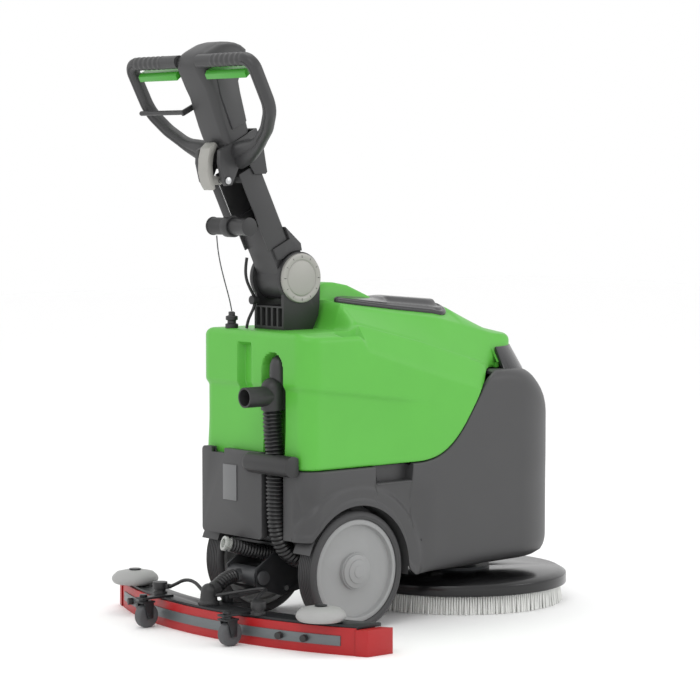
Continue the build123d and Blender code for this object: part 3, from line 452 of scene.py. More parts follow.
def niche_push(y, z, edge=6.0):
    """How far the hose channel and the hand recess push the rear wall in."""
    middle, half = sum(NICHE_Y) / 2, (NICHE_Y[1] - NICHE_Y[0]) / 2
    far = math.hypot(y - middle, max(z - (NICHE_TOP - half), 0))
    push = NICHE_DEPTH * (1 - step_up(half - edge / 2, half + edge / 2, far))
    return max(push, SLOT_DEPTH * inside(y, z, SLOT_Y, SLOT_Z, edge))


def tank_top(x, y):
    wide = abs(y)
    edge, crown = along(x, CROWN_EDGE), along(x, CROWN)
    groove = along(x, GROOVE)
    if wide < 100:
        band = crown - (crown - edge) * (wide / 100) ** 2
    else:
        band = along(wide, ((100, edge), (103, edge - 5), (150, groove + 5), (155, groove - 2),
                            (168, groove - 3),
                            (200, along(x, SHOULDER))))
    rear = 682 - 8 * step_up(150, 200, wide)
    top = mix(rear, band, step_up(2, 34, x))
    pocket = inside(wide, x, (166, 190), (-44, 22), 10)
    top -= 16 * pocket
    swell = (step_up(-24, -6, y) * (1 - step_up(68, 90, y))
             * step_up(8, 14, x) * (1 - step_up(204, 216, x)))
    return max(top, mix(top, along(x, SWELL), swell))


def build_tank():
    corners = [(-152, -200, 46), (385, -200, 60), (470, -134, 60), (604, -130, 129.5),
               (604, 130, 129.5), (470, 134, 60), (385, 200, 60), (-152, 200, 46)]
    plan, inward = rounded_outline(corners, lambda x, y: 2.9 if x < -100 else 6.0)
    wall_rows, round_rows, roof_rows = 62, 5, 66
    round_r = 13.0
    bm = bmesh.new()
    rings = []

    def wall_point(k, share):
        p, n = plan[k], inward[k]
        bottom = seam(p.x) + 3
        top = max(tank_top(p.x, p.y) - round_r, bottom + 0.6)
        z = mix(bottom, top, share)
        belt = 562 - 0.13 * (p.x - BODY_REAR)
        ease = 1 - step_up(60, 260, p.x)
        bulge = ease * (8.5 * step_up(belt - 14, belt + 2, z) - 8.5 + 4 * (1 - step_up(376, 480, z)))
        lip = 2.5 * (1 - step_up(0, 5, z - bottom))
        shift = -min(bulge, 0) * 0.9 + lip
        x, y = p.x + n.x * shift, p.y + n.y * shift
        if p.x < -149:
            x += niche_push(p.y, z)
        return at(x, y, z)

    first = [at(p.x + n.x * 9, p.y + n.y * 9, seam(p.x) + 14) for p, n in zip(plan, inward)]
    second = [at(p.x + n.x * 8, p.y + n.y * 8, seam(p.x) + 2) for p, n in zip(plan, inward)]
    rings += [first, second]
    for j in range(wall_rows + 1):
        rings.append([wall_point(k, j / wall_rows) for k in range(len(plan))])
    for j in range(1, round_rows + 1):
        angle = math.pi / 2 * j / round_rows
        d = round_r * (1 - math.cos(angle))
        ring = []
        for p, n in zip(plan, inward):
            x, y = p.x + n.x * d, p.y + n.y * d
            top = tank_top(x, y)
            floor = seam(p.x) + 3.6
            ring.append(at(x, y, max(top - round_r * (1 - math.sin(angle)), floor)))
        rings.append(ring)
    edge_xy = [(p.x + n.x * round_r, p.y + n.y * round_r) for p, n in zip(plan, inward)]
    for j in range(1, roof_rows + 1):
        share = j / roof_rows
        ring = []
        for x, y in edge_xy:
            sx = min(max(x, -70), 530)
            px, py = mix(x, sx, share), mix(y, 0, share)
            ring.append(at(px, py, max(tank_top(px, py), seam(px) + 3.6)))
        rings.append(ring)
    loft(bm, rings, caps=False)
    bmesh.ops.remove_doubles(bm, verts=bm.verts, dist=3e-4)
    # the opening under the lid, with a collar that goes down into it
    x0, x1, half = 222, 388, 60
    gone = [f for f in bm.faces if x0 < f.calc_center_median().x * 1000 + ORIGIN_X < x1
            and abs(f.calc_center_median().y * 1000) < half and f.calc_center_median().z > 0.68]
    bmesh.ops.delete(bm, geom=gone, context="FACES")
    rim = [e for e in bm.edges if e.is_boundary and e.verts[0].co.z > 0.66]
    for depth in (0.016, 0.13):
        grown = bmesh.ops.extrude_edge_only(bm, edges=rim)["geom"]
        for v in (g for g in grown if isinstance(g, bmesh.types.BMVert)):
            v.co.z = v.co.z - depth
        rim = [g for g in grown if isinstance(g, bmesh.types.BMEdge)]
    bmesh.ops.edgeloop_fill(bm, edges=rim)
    return piece("recovery_tank_shell", bm, MATS["green"], "chassis", ("recovery_tank",),
                 weld=False)


def build_lid():
    corners = [(33, -79, 5), (404, -80, 52), (404, 80, 52), (206, 80, 26), (192, 6, 40), (150, -16, 20),
               (92, -22, 30), (38, -66, 6)]
    plan, inward = rounded_outline(corners, lambda x, y: 4.0)
    far_edge = ((38, -66), (92, -22), (150, -16), (190, 0), (204, 40), (218, 80))
    bm = bmesh.new()
    rings = []
    rows = ((7, -7), (2.5, -6), (1, 0.8), (0, 3.4), (0.6, 7), (2.2, 9.6), (5, 11.4), (9, 12.2))
    for inset, lift in rows:
        rings.append([at(p.x + n.x * inset, p.y + n.y * inset, tank_top_deck(p.x, p.y) + lift)
                      for p, n in zip(plan, inward)])
    edge = [(p.x + n.x * 9, p.y + n.y * 9) for p, n in zip(plan, inward)]
    for j in range(1, 19):
        share = j / 18
        ring = []
        for x, y in edge:
            sx = min(max(x, 46), 384)
            sy = (-80 + along(sx, far_edge)) / 2
            px, py = mix(x, sx, share), mix(y, sy, share)
            dish = 2.4 * step_up(0.1, 0.2, share) * step_up(214, 226, px)
            swell = 11 * step_up(0.3, 0.62, share) * step_up(190, 240, px)
            ring.append(at(px, py, tank_top_deck(px, py) + 12.2 - dish + swell))
        rings.append(ring)
    loft(bm, rings, caps=False)
    bmesh.ops.remove_doubles(bm, verts=bm.verts, dist=3e-4)
    bm.verts.ensure_lookup_table()
    rim = [e for e in bm.edges if e.is_boundary]
    bmesh.ops.edgeloop_fill(bm, edges=rim)
    return piece("inspection_lid", bm, MATS["gloss"], "lid", ("tank_lid",), weld=False)


def tank_top_deck(x, y):
    """The tank's deck with no swell, which the lid follows."""
    edge, crown = along(x, CROWN_EDGE), along(x, CROWN)
    return crown - (crown - edge) * min(abs(y) / 100, 1) ** 2


ARCH_R, AXLE_Z = 151.0, 136.5


def skirt_bottom(x, side):
    """The lower shell's bottom edge: a wheel arch on each side, low in front, high behind."""
    level = 213 if x < 0 else mix(112, 118, step_up(217, 690, x))
    if side and abs(x) < ARCH_R:
        level = max(level if x < 0 else 0, AXLE_Z + math.sqrt(ARCH_R ** 2 - x * x))
    elif side and x > 0:
        level += (AXLE_Z - level) * (1 - min((x - ARCH_R) / 34, 1)) ** 2.4
    return level


def build_lower_shell():
    plan, inward = rounded_outline([(-152, -200, 46), (700, -200, 188),
                                    (700, 200, 188), (-152, 200, 46)],
                                   lambda x, y: 3.4 if x < -100 else 4.6)
    bm = bmesh.new()
    rings = []
    wall_rows, round_rows = 40, 9

    def sizes(p):
        side = abs(p.y) > 150
        bottom = skirt_bottom(p.x, side)
        top = seam(p.x) if p.x < 600 else 568
        pocket = step_up(52, 56, p.x) * (1 - step_up(162, 166, p.x)) if side else 0
        top -= 38 * pocket
        nose = step_up(470, 690, p.x)
        reach = mix(mix(5, 20, step_up(405, 440, p.x)), 96, nose)
        drop = mix(mix(5, 26, step_up(405, 440, p.x)), 118, nose)
        return bottom, top, reach, drop, pocket

    def wall(k, share):
        p, n = plan[k], inward[k]
        bottom, top, _, drop, _ = sizes(p)
        z = mix(bottom, top - drop, share)
        flare = -2.6 * (1 - step_up(12, 17, z - bottom)) if abs(p.x) < 175 and abs(p.y) > 150 else 0
        crease = 2.4 * (1 - step_up(120 + 0.25 * p.x, 200 + 0.25 * p.x, z)) * step_up(170, 300, p.x) * (
            1 - step_up(560, 690, p.x))
        low = max(1 - (z - bottom) / 46, 0)
        tuck = 24 * (1 - math.sqrt(1 - low * low)) * step_up(160, 260, p.x)
        away = math.hypot(p.x, z - AXLE_Z)
        skirt = (9 * step_up(186, 202, away) * (1 - step_up(290, 352, z)) * (1 - step_up(150, 240, p.x))
                 * step_up(150, 160, abs(p.y)))
        shift = flare + crease + tuck + skirt
        x, y = p.x + n.x * shift, p.y + n.y * shift
        if p.x < -149:
            x += NICHE_DEPTH * inside(p.y, z, NICHE_Y, (0, 900), 6)
        return at(x, y, z)

    hem = [wall(k, 0) for k in range(len(plan))]
    for inset, lift in ((6, 34), (6, 2), (2, -0.2)):
        rings.append([q + Vector((n.x * inset, n.y * inset, lift)) / 1000 for q, n in zip(hem, inward)])
    rings += [[wall(k, j / wall_rows) for k in range(len(plan))] for j in range(wall_rows + 1)]
    for j in range(1, round_rows + 1):
        angle = math.pi / 2 * j / round_rows
        ring = []
        for p, n in zip(plan, inward):
            bottom, top, reach, drop, pocket = sizes(p)
            d = reach * (1 - math.cos(angle))
            ring.append(at(p.x + n.x * d, p.y + n.y * d, top - drop * (1 - math.sin(angle))))
        rings.append(ring)
    for drop_in in (0, 6):
        ring = []
        for p, n in zip(plan, inward):
            bottom, top, reach, drop, pocket = sizes(p)
            if p.x > 430:
                away = Vector((p.x - 474, p.y))
                q = Vector((474, 0)) + away.normalized() * (128 - 4 * drop_in)
                if p.x < 474:
                    width = along(p.x, ((430, 160), (474, 128))) - 4 * drop_in
                    q = Vector((p.x, math.copysign(width, p.y)))
            else:
                q = p + n * mix(12, 26, pocket)
            z = top - drop_in if not pocket else mix(top - drop_in, top + 36 * (drop_in > 0), pocket)
            ring.append(at(q.x, q.y, z))
        rings.append(ring)
    loft(bm, rings, caps=False)
    # wheel wells
    for side in (-1, 1):
        band = []
        for y in (199, 139):
            band.append([at(ARCH_R * math.cos(a), side * y, AXLE_Z + ARCH_R * math.sin(a))
                         for a in (math.radians(-8 + 169 * k / 40) for k in range(41))])
        made = [[bm.verts.new(p) for p in row] for row in band]
        for a, b in zip(range(40), range(1, 41)):
            bm.faces.new((made[0][a], made[0][b], made[1][b], made[1][a]))
        bm.faces.new(made[1])
    return piece("lower_shell", bm, MATS["grey"], "chassis", ("lower_body",))


# ---- hoses, wires and cords -----------------------------------------------------------------
DRAIN_HOSE = ((-150, -75, 504.8), (-150, -75.5, 462), (-150, -83, 420), (-151, -88, 376),
              (-152, -89, 328),
              (-152, -90, 280), (-149, -91, 236), (-136, -92, 198), (-108, -94, 170), (-72, -96, 159),
              (-36, -97, 157))
SOLUTION_HOSE = ((-187, 34, 190), (-160, 26, 182), (-128, 17, 172), (-90, 9, 164.5), (-45, 4, 161))
SUCTION_HOSE = ((-249, 2, 104), (-238, 3, 111), (-224, 5, 117.5), (-210, 7, 121), (-198.2, 8, 122))
LIFT_WIRE = ((-203, 60, 897), (-200, 61.5, 872), (-189, 66, 834), (-171, 75, 797), (-152, 86, 765),
             (-137, 96, 741), (-128, 102, 721.2))
CONTROL_CABLE = ((-134, 37, 846), (-137, 39, 824), (-133, 42, 798), (-121, 43.5, 776), (-110, 44, 760),
                 (-106, 44, 745), (-107, 46, 730), (-113, 50, 715), (-119, 54, 699), (-120.5, 56, 683))
LEFT_TETHER = ((-269, 155, 87.5), (-266, 138, 94), (-263, 115, 106), (-262, 88, 110), (-264, 62, 106),
               (-268, 41, 98), (-271, 24, 91))
RIGHT_TETHER = ((-267, -153.5, 88), (-256, -142, 91.5), (-236, -134, 99), (-214, -126, 105),
                (-196, -110, 106),
                (-200, -86, 104), (-222, -69, 100), (-247, -53, 96), (-264, -38, 92), (-271, -24, 89))


def ribbed_hose(name, route, diameter, pitch, mats_key, nodes, body="chassis"):
    """A corrugated hose: its wall swells and narrows once in each pitch along the route."""
    line = spline_points([at(*p) for p in route])
    line = evenly(line, pitch / 8000)
    outer, depth = diameter / 2000, pitch * 0.34 / 1000

    def section(share, i):
        wave = 0.5 + 0.5 * math.cos(math.tau * i / 8)
        return circle(outer - depth * (1 - wave ** 0.7), 40)

    bm = bmesh.new()
    swept(bm, line, section)
    return piece(name, bm, MATS[mats_key], body, nodes)


def free_cord(name, route, diameter, mats_key, slot_name, nodes, body, blend=None, twist=0, **facts):
    """A cord along its route, as a tube."""
    line = spline_points([at(*p) for p in route], 36)
    bm = bmesh.new()
    r = diameter / 2000

    def section(share, i):
        if not twist:
            return circle(r, 16)
        return [(r * (0.93 + 0.07 * math.cos(6 * a - twist * i)) * math.cos(a),
                 r * (0.93 + 0.07 * math.cos(6 * a - twist * i)) * math.sin(a))
                for a in (math.tau * k / 24 for k in range(24))]

    swept(bm, line, section)
    made = piece(name, bm, MATS[mats_key], None if blend else body, nodes)
    if blend:
        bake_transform(made)
    return made


def build_cords():
    fold = ("chassis", "column", tuple(at(-110, 44, 752)), tuple(at(-140, 40, 835)))
    free_cord("lift_wire_strand", tuple(reversed(LIFT_WIRE)), 3, "wire", "zinc_steel", ("lift_wire",),
              "chassis", blend=fold, twist=0.35, far_end="object", stiffness="stiff", lay="hanging")
    free_cord("control_cable_sheath", CONTROL_CABLE, 7, "cable", "cable_black", ("control_cable",),
              "chassis", blend=fold, far_end="object", stiffness="medium", lay="hanging")
    free_cord("knob_tether_left", LEFT_TETHER, 8, "cable", "cable_black", ("knob_tethers",), "squeegee",
              far_end="object", stiffness="medium", lay="loose")
    free_cord("knob_tether_right", RIGHT_TETHER, 8, "hose_grey", "cable_black", ("knob_tethers",),
              "squeegee", far_end="object", stiffness="medium", lay="loose")


def build_hoses():
    ribbed_hose("drain_hose_wall", DRAIN_HOSE, 45, 9.0, "hose", ("drain_hose",))
    ribbed_hose("solution_hose_wall", SOLUTION_HOSE, 34, 7.5, "hose_grey",
                ("solution_hose",))
    made = ribbed_hose("suction_hose_wall", SUCTION_HOSE, 34, bpy.context.scene.scrubber.hose_pitch,
                       "hose", ("suction_hose",), None)
    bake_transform(made)


# ---- wheels and brush -----------------------------------------------------------------------
def wheel_place(side):
    return Matrix.Translation(at(0, 0, 136.5)) @ Matrix.Rotation(math.radians(-90 * side), 4, "X")


def build_tyre(side, name):
    inner, outer, rim, tread = 142.5, 197.3, 118.7, 136.5
    profile = [(rim, inner + 3), (rim + 6, inner), (tread - 8, inner), (tread - 3, inner + 3)]
    pitch = (outer - inner - 12) / 7
    for k in range(7):
        h = inner + 6 + pitch * k
        profile += [(tread, h + 0.8), (tread, h + pitch - 2.2), (tread - 1.6, h + pitch - 1.4),
                    (tread - 1.6, h + pitch)]
    profile += [(tread, outer - 6), (tread - 3, outer - 3), (tread - 8, outer - 0.4), (tread - 11, outer),
                (tread - 12, outer - 0.8), (rim + 7, outer - 0.8), (rim + 6, outer), (rim + 2, outer - 1.5),
                (rim, outer - 3), (rim, inner + 3)]
    bm = bmesh.new()
    spun(bm, profile, wheel_place(side), 128)
    return piece("ridged_tyre_" + name, bm, MATS["tyre"], "wheel_" + name,
                 ("tyre_" + name,))


def build_wheels():
    for side, name in ((-1, "right"), (1, "left")):
        build_tyre(side, name)
        softened("rim_" + name, MATS["wheel"], 1.6)
        softened("hub_cap_" + name, MATS["wheel"], 0.8)


def build_brush():
    bm = bmesh.new()
    for row in range(5):
        radius = 248 - 9 * row
        count = 250 - 9 * row
        for k in range(count):
            a = math.tau * (k + 0.5 * (row % 2)) / count
            lean = 3.0 * math.sin(k * 2.7 + row) + (2.4 if row == 0 else 0)
            foot = at(487.8 + radius * math.cos(a), radius * math.sin(a), 42)
            tip = at(487.8 + (radius + lean) * math.cos(a), (radius + lean) * math.sin(a), 0.6)
            way = (foot - tip).normalized()
            turn = Vector((0, 0, 1)).rotation_difference(way).to_matrix().to_4x4()
            bmesh.ops.create_cone(bm, cap_ends=True, segments=5, radius1=0.0031, radius2=0.0022,
                                  depth=(foot - tip).length,
                                  matrix=Matrix.Translation((foot + tip) / 2) @ turn)
    piece("brush_tufts", bm, MATS["bristle"], "brush", ("brush_bristles",), weld=False)


# ---- column and head ------------------------------------------------------------------------
LOOP_PATH = ((36, 268), (224, 268), (222, 149), (181, 100), (129, 62), (36, 31))
LOOP_RADII = (26, 70, 90, 120)


def rounded_run(points, radii, spacing):
    """An open run of (y, s) points with its corners rounded, at an even spacing."""
    out = [Vector(points[0])]
    for i, radius in enumerate(radii, start=1):
        here = Vector(points[i])
        back = (Vector(points[i - 1]) - here).normalized()
        ahead = (Vector(points[i + 1]) - here).normalized()
        half = back.angle(ahead) / 2
        start = here + back * (radius / math.tan(half))
        centre = here + (back + ahead).normalized() * (radius / math.sin(half))
        side = 1 if back.cross(ahead) < 0 else -1
        pieces = max(6, int(radius * (math.pi - 2 * half) / spacing))
        turn = side * (math.pi - 2 * half)
        for k in range(pieces + 1):
            out.append(centre + Matrix.Rotation(turn * k / pieces, 2) @ (start - centre))
    out.append(Vector(points[-1]))
    return evenly(out, spacing)


# the head housing from bottom to top: height, rear, front, half width, corner radius
COWL_SECTIONS = ((70, 36, 108, 46, 14), (92, 36.5, 112, 46.5, 15), (115, 37.5, 117, 47, 16),
                 (150, 41, 126, 48, 18),
                 (183, 45, 135, 49, 20), (205, 45, 156, 50, 18), (222, 44, 178, 50, 20),
                 (236, 43, 186, 50, 22),
                 (250, 42.5, 178, 50, 23), (261, 43, 166, 49.5, 22), (270, 46, 152, 47.5, 22),
                 (277, 53, 138, 43, 21),
                 (281.5, 64, 122, 34, 16), (283, 80, 108, 18, 8))


def build_cowl():
    """Centre housing of the head: a tapering body whose domed top reaches forward, with its two
    side panels."""
    bm = bmesh.new()
    rings = []
    for s, rear, front, half, radius in COWL_SECTIONS:
        middle = (rear + front) / 2
        rings.append([on_head(middle + a, b, s) for a, b in rounded_rect(front - rear, 2 * half, min(
            radius, (front - rear) / 2.1, half * 0.95), 7)])
    loft(bm, rings)
    made = piece("head_housing", bm, MATS["handle"], "head", ("head_cowl",))
    bm = bmesh.new()
    for side in (-1, 1):
        ring = [(62, 96), (104, 96), (122, 186), (126, 214), (74, 222), (66, 180)]
        low = [bm.verts.new(on_head(d, side * 46.0, s)) for d, s in ring]
        face = bm.faces.new(low)
        high = bmesh.ops.extrude_face_region(bm, geom=[face])["geom"]
        for v in (g for g in high if isinstance(g, bmesh.types.BMVert)):
            v.co.y = side * (0.0522 if v.co.z > 1.15 else 0.0508)
    piece("head_side_panels", bm, MATS["grey"], "head", bevel=1.4)
    return made


def build_rear_fittings():
    """Behind the drain hose: a dark insert filling the top of its niche, which is painted shade for the
    recess, and a dark strip; and the door's blank plate.
    """
    bm = bmesh.new()
    # painted shade: a dark domed insert shaped to the niche's rounded top, standing in for the shade inside
    # the recess
    heights = [(505, 19), (590, 21), (606, 20.2), (616, 17.5), (623, 13), (627, 6)]
    swept(bm, [at(-133, -77, z) for z, _ in heights],
          lambda share, i: [(c * heights[i][1] / 1000, q * heights[i][1] / 1000) for c, q in circle(1, 36)],
          up=Vector((1, 0, 0)))
    piece("niche_painted_shade_insert", bm, MATS["handle"], "chassis")
    bm = bmesh.new()
    box(bm, (-149, -58, 380), (-126, -46, 512))
    piece("drain_strip", bm, MATS["grey"], "chassis", bevel=2.0)
    bm = bmesh.new()
    box(bm, (-172.6, 30, 290), (-170.8, 80, 372))
    piece("door_plate", bm, MATS["plate"], "chassis", bevel=1.2)


def build_loops():
    run = rounded_run(LOOP_PATH, LOOP_RADII, 1.5)
    for side, name in ((-1, "right"), (1, "left")):
        line = [on_head(55, side * p.x, p.y) for p in run]

        def section(share, i):
            y, s = run[i]
            grip = step_up(88, 98, y) * (1 - step_up(192, 202, y)) * step_up(240, 250, s)
            ridge = grip * (0.5 + 0.5 * math.cos(math.tau * (y - 96) / 18)) * 1.6
            web = (1 - step_up(60, 150, y)) * (1 - step_up(120, 160, s))
            flat = step_up(0, 0.3, share)
            out = []
            for k in range(32):
                a = math.tau * k / 32
                groove = 2.2 * (1 - grip) * flat * math.exp(-(math.sin(a) / 0.13) ** 2)
                r = 14.2 + ridge * 0.8 - groove
                c, q = math.cos(a), math.sin(a)
                squarer = 1 + 0.07 * (1 - grip) * abs(2 * c * q)
                reach = r * squarer / 1000
                out.append((reach * c * (1 + 0.35 * web), reach * q * (1 + web)))
            return out

        bm = bmesh.new()
        swept(bm, line, section, up=(on_head(0, 0, 1) - on_head(0, 0, 0)).normalized())
        piece("hand_loop_" + name, bm, MATS["handle"], "head",
              ("handle_loop_" + name,))


def build_pivot_caps():
    bm, ticks = bmesh.new(), bmesh.new()
    for side in (-1, 1):
        turned = Matrix.Rotation(math.radians(-90 * side), 4, "X")
        place = Matrix.Translation(at(PIVOT_X, 0, PIVOT_Z)) @ turned
        spun(bm, [(0, 61.6), (38, 61.8), (40, 61.2), (41.2, 60.2), (42.4, 61.2), (43.6, 61.9), (53, 62),
                  (55.4, 61.2),
                  (56.6, 59), (56.6, 54.2), (54, 54.05), (0, 54.05)], place, 96)
        for k in range(0, 12):
            turn = place @ Matrix.Rotation(math.tau * k / 12, 4, "Z")
            if k % 3:
                box(ticks, (46.5, -0.55, 61.9), (51.5, 0.55, 62.15), turn)
            else:
                box(ticks, (46, -0.8, 61.9), (52.0, 0.8, 62.15), turn)
    piece("fold_caps", bm, MATS["silver"], "chassis", ("pivot_bolt",))
    piece("fold_cap_marks", ticks, MATS["coated"], "chassis")


SOFT = {
    "front_cover": ("gloss", 3.0), "rear_panel": ("grey", 2.4), "hose_bar": ("black", 2.5),
    "drain_elbow": ("black", 1.8), "solution_nozzle": ("clear", 0.8), "chassis_frame": ("coated", 0.8),
    "axle": ("zinc", 0.8), "suction_manifold": ("manifold", 1.2), "deck_cover": ("deck", 4.0),
    "column_base": ("black", 1.6), "wire_guide": ("black", 0.7), "column_foot": ("handle", 3.0),
    "column_channel": ("handle", 1.5), "drum_bracket": ("black", 1.0), "lift_drum": ("black", 1.0),
    "head_clevis": ("handle", 1.2), "head_pin": ("zinc", 0.8),
    "tilt_lever": ("silver", 2.0), "flow_lever": ("black", 0.8), "trigger_right": ("trigger", 2.5),
    "trigger_left": ("trigger", 2.5), "squeegee_arm": ("coated", 1.0), "squeegee_plate": ("coated", 0.9),
    "rubber_blades": ("red", 0.6), "blade_strip": ("strip", 0.6), "end_caps": ("red", 1.2),
    "strip_knobs": ("black", 1.0), "mount_knobs": ("black", 1.4), "suction_elbow": ("black", 1.6),
    "caster_wheel_right": ("caster", 1.5), "caster_wheel_left": ("caster", 1.5),
    "caster_fork_right": ("coated", 0.7), "caster_fork_left": ("coated", 0.7),
    "bumper_roller_right": ("roller", 3.0), "bumper_roller_left": ("roller", 3.0),
}
PLAIN = {"batteries": "battery", "vacuum_motor": "motor", "brush_motor": "motor", "arm_pin": "zinc",
         "brush_block": "brush"}


CAMERA_PLACE = (-4.0677, -4.741, 1.050)     # metres, in the frame
CAMERA_WAY = (0.6464, 0.763)                # the way it looks, seen from above
CAMERA_TILT = 3.923                         # degrees below level
SENSOR_WIDTH, CAMERA_REACH = 36, 60         # millimetres; metres

# name, place, watts, width in metres
STUDIO_LIGHTS = (("key_light", (-3.0, -2.2, 3.6), 30, 1.8), ("side_light", (2.4, -3.4, 2.0), 20, 1.6),
                 ("rear_light", (-2.6, 2.6, 2.2), 6, 2.0), ("top_light", (0.4, 0.6, 4.2), 20, 1.6))


def build_stage():
    """Pale floor, soft studio light and the camera."""
    settings = bpy.context.scene.scrubber
    scene = bpy.context.scene
    camera = bpy.data.objects.new("view_camera", bpy.data.cameras.new("view_camera"))
    camera.data.lens = settings.lens
    camera.data.sensor_width = SENSOR_WIDTH
    camera.data.clip_end = CAMERA_REACH
    tilt = math.radians(CAMERA_TILT)
    ahead, across = CAMERA_WAY
    way = Vector((ahead * math.cos(tilt), across * math.cos(tilt), -math.sin(tilt)))
    looking = way.to_track_quat("-Z", "Y").to_matrix().to_4x4()
    camera.matrix_world = Matrix.Translation(CAMERA_PLACE) @ looking
    scene.collection.objects.link(camera)
    scene.camera = camera
    bm = bmesh.new()
    bmesh.ops.create_grid(bm, x_segments=1, y_segments=1, size=settings.floor_size)
    mesh = bpy.data.meshes.new("studio_floor")
    bm.to_mesh(mesh)
    bm.free()
    floor = bpy.data.objects.new("studio_floor", mesh)
    mesh.materials.append(surface("pale_painted_floor", "FFFFFF", 0.75, grain=3, depth=0.01,
                                  mottle=0.004))
    scene.collection.objects.link(floor)
    for name, place, power, size in STUDIO_LIGHTS:
        lamp = bpy.data.lights.new(name, "AREA")
        lamp.energy, lamp.size = power, size
        holder = bpy.data.objects.new(name, lamp)
        aim = Vector((0, 0, 0.5)) - Vector(place)
        looking = aim.to_track_quat("-Z", "Y").to_matrix().to_4x4()
        holder.matrix_world = Matrix.Translation(place) @ looking
        scene.collection.objects.link(holder)
    world = bpy.data.worlds.new("studio")
    world.use_nodes = True
    world.node_tree.nodes["Background"].inputs["Color"].default_value = (1, 1, 1, 1)
    world.node_tree.nodes["Background"].inputs["Strength"].default_value = 1.0
    scene.world = world
    scene.view_settings.view_transform = "Standard"


# ---- add-on ---------------------------------------------------------------------------------
class ScrubberSettings(bpy.types.PropertyGroup):
    """Sizes and colours that change the looks and not the fit."""
    lens: bpy.props.FloatProperty(name="Lens", description="Camera focal length", default=136.4,
                                  unit="CAMERA")
    floor_size: bpy.props.FloatProperty(name="Floor Size", description="Half the width of the floor",
                                        default=14.0, unit="LENGTH")
    edge_scale: bpy.props.FloatProperty(name="Edge Rounding",
                                        description="Multiplies the rounding of every CAD part's edges",
                                        default=1.0, min=0.1, max=1.5)
    hose_pitch: bpy.props.FloatProperty(name="Hose Rib Spacing",
                                        description="Millimetres from rib to rib of the suction hose",
                                        default=7.5, min=5.0, max=15.0)
    tank_colour: bpy.props.FloatVectorProperty(
        name="Tank Colour", description="Colour of the recovery tank",
        default=linear("55AE3A")[:3], size=3, subtype="COLOR", min=0, max=1)
    shell_colour: bpy.props.FloatVectorProperty(
        name="Shell Colour", description="Colour of the lower shell",
        default=linear("3E3E3F")[:3], size=3, subtype="COLOR", min=0, max=1)
    wheel_colour: bpy.props.FloatVectorProperty(
        name="Wheel Colour", description="Colour of the wheel centres",
        default=linear("8F9090")[:3], size=3, subtype="COLOR", min=0, max=1)
    blade_colour: bpy.props.FloatVectorProperty(
        name="Blade Colour", description="Colour of the rubber blades",
        default=linear("A50E13")[:3], size=3, subtype="COLOR", min=0, max=1)


def soften_all():
    """Rounds the other CAD shapes, and gives the hidden ones their finish."""
    scale = bpy.context.scene.scrubber.edge_scale
    for node, (key, width) in SOFT.items():
        softened(node, MATS[key], width * scale)
    for node, key in PLAIN.items():
        target = frame["nodes"][node]
        target.data.materials.clear()
        target.data.materials.append(MATS[key])


class SCRUBBER_OT_stage(bpy.types.Operator):
    """Floor, lights and camera"""
    bl_idname = "scrubber.stage"
    bl_label = "Build Stage"

    def execute(self, context):
        build_stage()
        return {"FINISHED"}


class SCRUBBER_OT_cords(bpy.types.Operator):
    """Lift wire, control cable and knob tethers"""
    bl_idname = "scrubber.cords"
    bl_label = "Build Cords"

    def execute(self, context):
        build_cords()
        return {"FINISHED"}


class SCRUBBER_OT_hoses(bpy.types.Operator):
    """Corrugated hoses"""
    bl_idname = "scrubber.hoses"
    bl_label = "Build Hoses"

    def execute(self, context):
        build_hoses()
        return {"FINISHED"}


class SCRUBBER_OT_tank(bpy.types.Operator):
    """Green recovery tank"""
    bl_idname = "scrubber.tank"
    bl_label = "Build Tank"

    def execute(self, context):
        build_tank()
        return {"FINISHED"}


class SCRUBBER_OT_lid(bpy.types.Operator):
    """Inspection lid"""
    bl_idname = "scrubber.lid"
    bl_label = "Build Lid"

    def execute(self, context):
        build_lid()
        return {"FINISHED"}


class SCRUBBER_OT_lower(bpy.types.Operator):
    """Grey lower shell"""
    bl_idname = "scrubber.lower"
    bl_label = "Build Lower Shell"

    def execute(self, context):
        build_lower_shell()
        return {"FINISHED"}


class SCRUBBER_OT_wheels(bpy.types.Operator):
    """Tyres, rims and caps"""
    bl_idname = "scrubber.wheels"
    bl_label = "Build Wheels"

    def execute(self, context):
        build_wheels()
        return {"FINISHED"}


class SCRUBBER_OT_brush(bpy.types.Operator):
    """Brush tufts"""
    bl_idname = "scrubber.brush"
    bl_label = "Build Brush"

    def execute(self, context):
        build_brush()
        return {"FINISHED"}


class SCRUBBER_OT_rear(bpy.types.Operator):
    """Dark insert painting the niche's shade, strip and blank plate"""
    bl_idname = "scrubber.rear"
    bl_label = "Build Rear Fittings"

    def execute(self, context):
        build_rear_fittings()
        return {"FINISHED"}


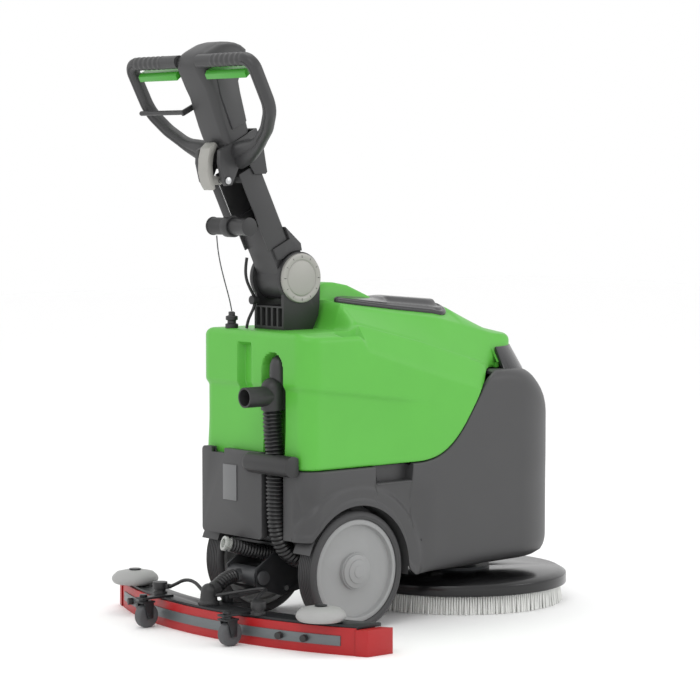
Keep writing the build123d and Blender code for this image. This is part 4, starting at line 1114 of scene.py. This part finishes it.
class SCRUBBER_OT_cowl(bpy.types.Operator):
    """Head housing with its side panels"""
    bl_idname = "scrubber.cowl"
    bl_label = "Build Head Housing"

    def execute(self, context):
        build_cowl()
        return {"FINISHED"}


class SCRUBBER_OT_loops(bpy.types.Operator):
    """Two hand loops"""
    bl_idname = "scrubber.loops"
    bl_label = "Build Handles"

    def execute(self, context):
        build_loops()
        return {"FINISHED"}


class SCRUBBER_OT_caps(bpy.types.Operator):
    """Discs over the fold axis"""
    bl_idname = "scrubber.caps"
    bl_label = "Build Fold Caps"

    def execute(self, context):
        build_pivot_caps()
        return {"FINISHED"}


class SCRUBBER_OT_parts(bpy.types.Operator):
    """Rounded edges and finishes for the other parts"""
    bl_idname = "scrubber.parts"
    bl_label = "Finish Parts"

    def execute(self, context):
        soften_all()
        return {"FINISHED"}


OPERATORS = (SCRUBBER_OT_stage, SCRUBBER_OT_cords, SCRUBBER_OT_hoses, SCRUBBER_OT_tank, SCRUBBER_OT_lid,
             SCRUBBER_OT_lower, SCRUBBER_OT_wheels, SCRUBBER_OT_brush, SCRUBBER_OT_rear,
             SCRUBBER_OT_cowl, SCRUBBER_OT_loops, SCRUBBER_OT_caps, SCRUBBER_OT_parts)


class SCRUBBER_PT_panel(bpy.types.Panel):
    """Lists the building steps."""
    bl_label = "Floor Scrubber"
    bl_space_type = "VIEW_3D"
    bl_region_type = "UI"
    bl_category = "Scrubber"

    def draw(self, context):
        for name in ("lens", "floor_size", "edge_scale", "hose_pitch", "tank_colour", "shell_colour",
                     "wheel_colour", "blade_colour"):
            self.layout.prop(context.scene.scrubber, name)
        for entry in OPERATORS:
            self.layout.operator(entry.bl_idname)


CLASSES = (ScrubberSettings, *OPERATORS, SCRUBBER_PT_panel)


def register():
    for entry in CLASSES:
        bpy.utils.register_class(entry)
    bpy.types.Scene.scrubber = bpy.props.PointerProperty(type=ScrubberSettings)


def unregister():
    del bpy.types.Scene.scrubber
    for entry in reversed(CLASSES):
        bpy.utils.unregister_class(entry)


def main():
    register()
    MATS.update(make_materials())
    for entry in OPERATORS:
        getattr(bpy.ops.scrubber, entry.bl_idname.split(".")[1])()


if __name__ == "__main__":
    main()
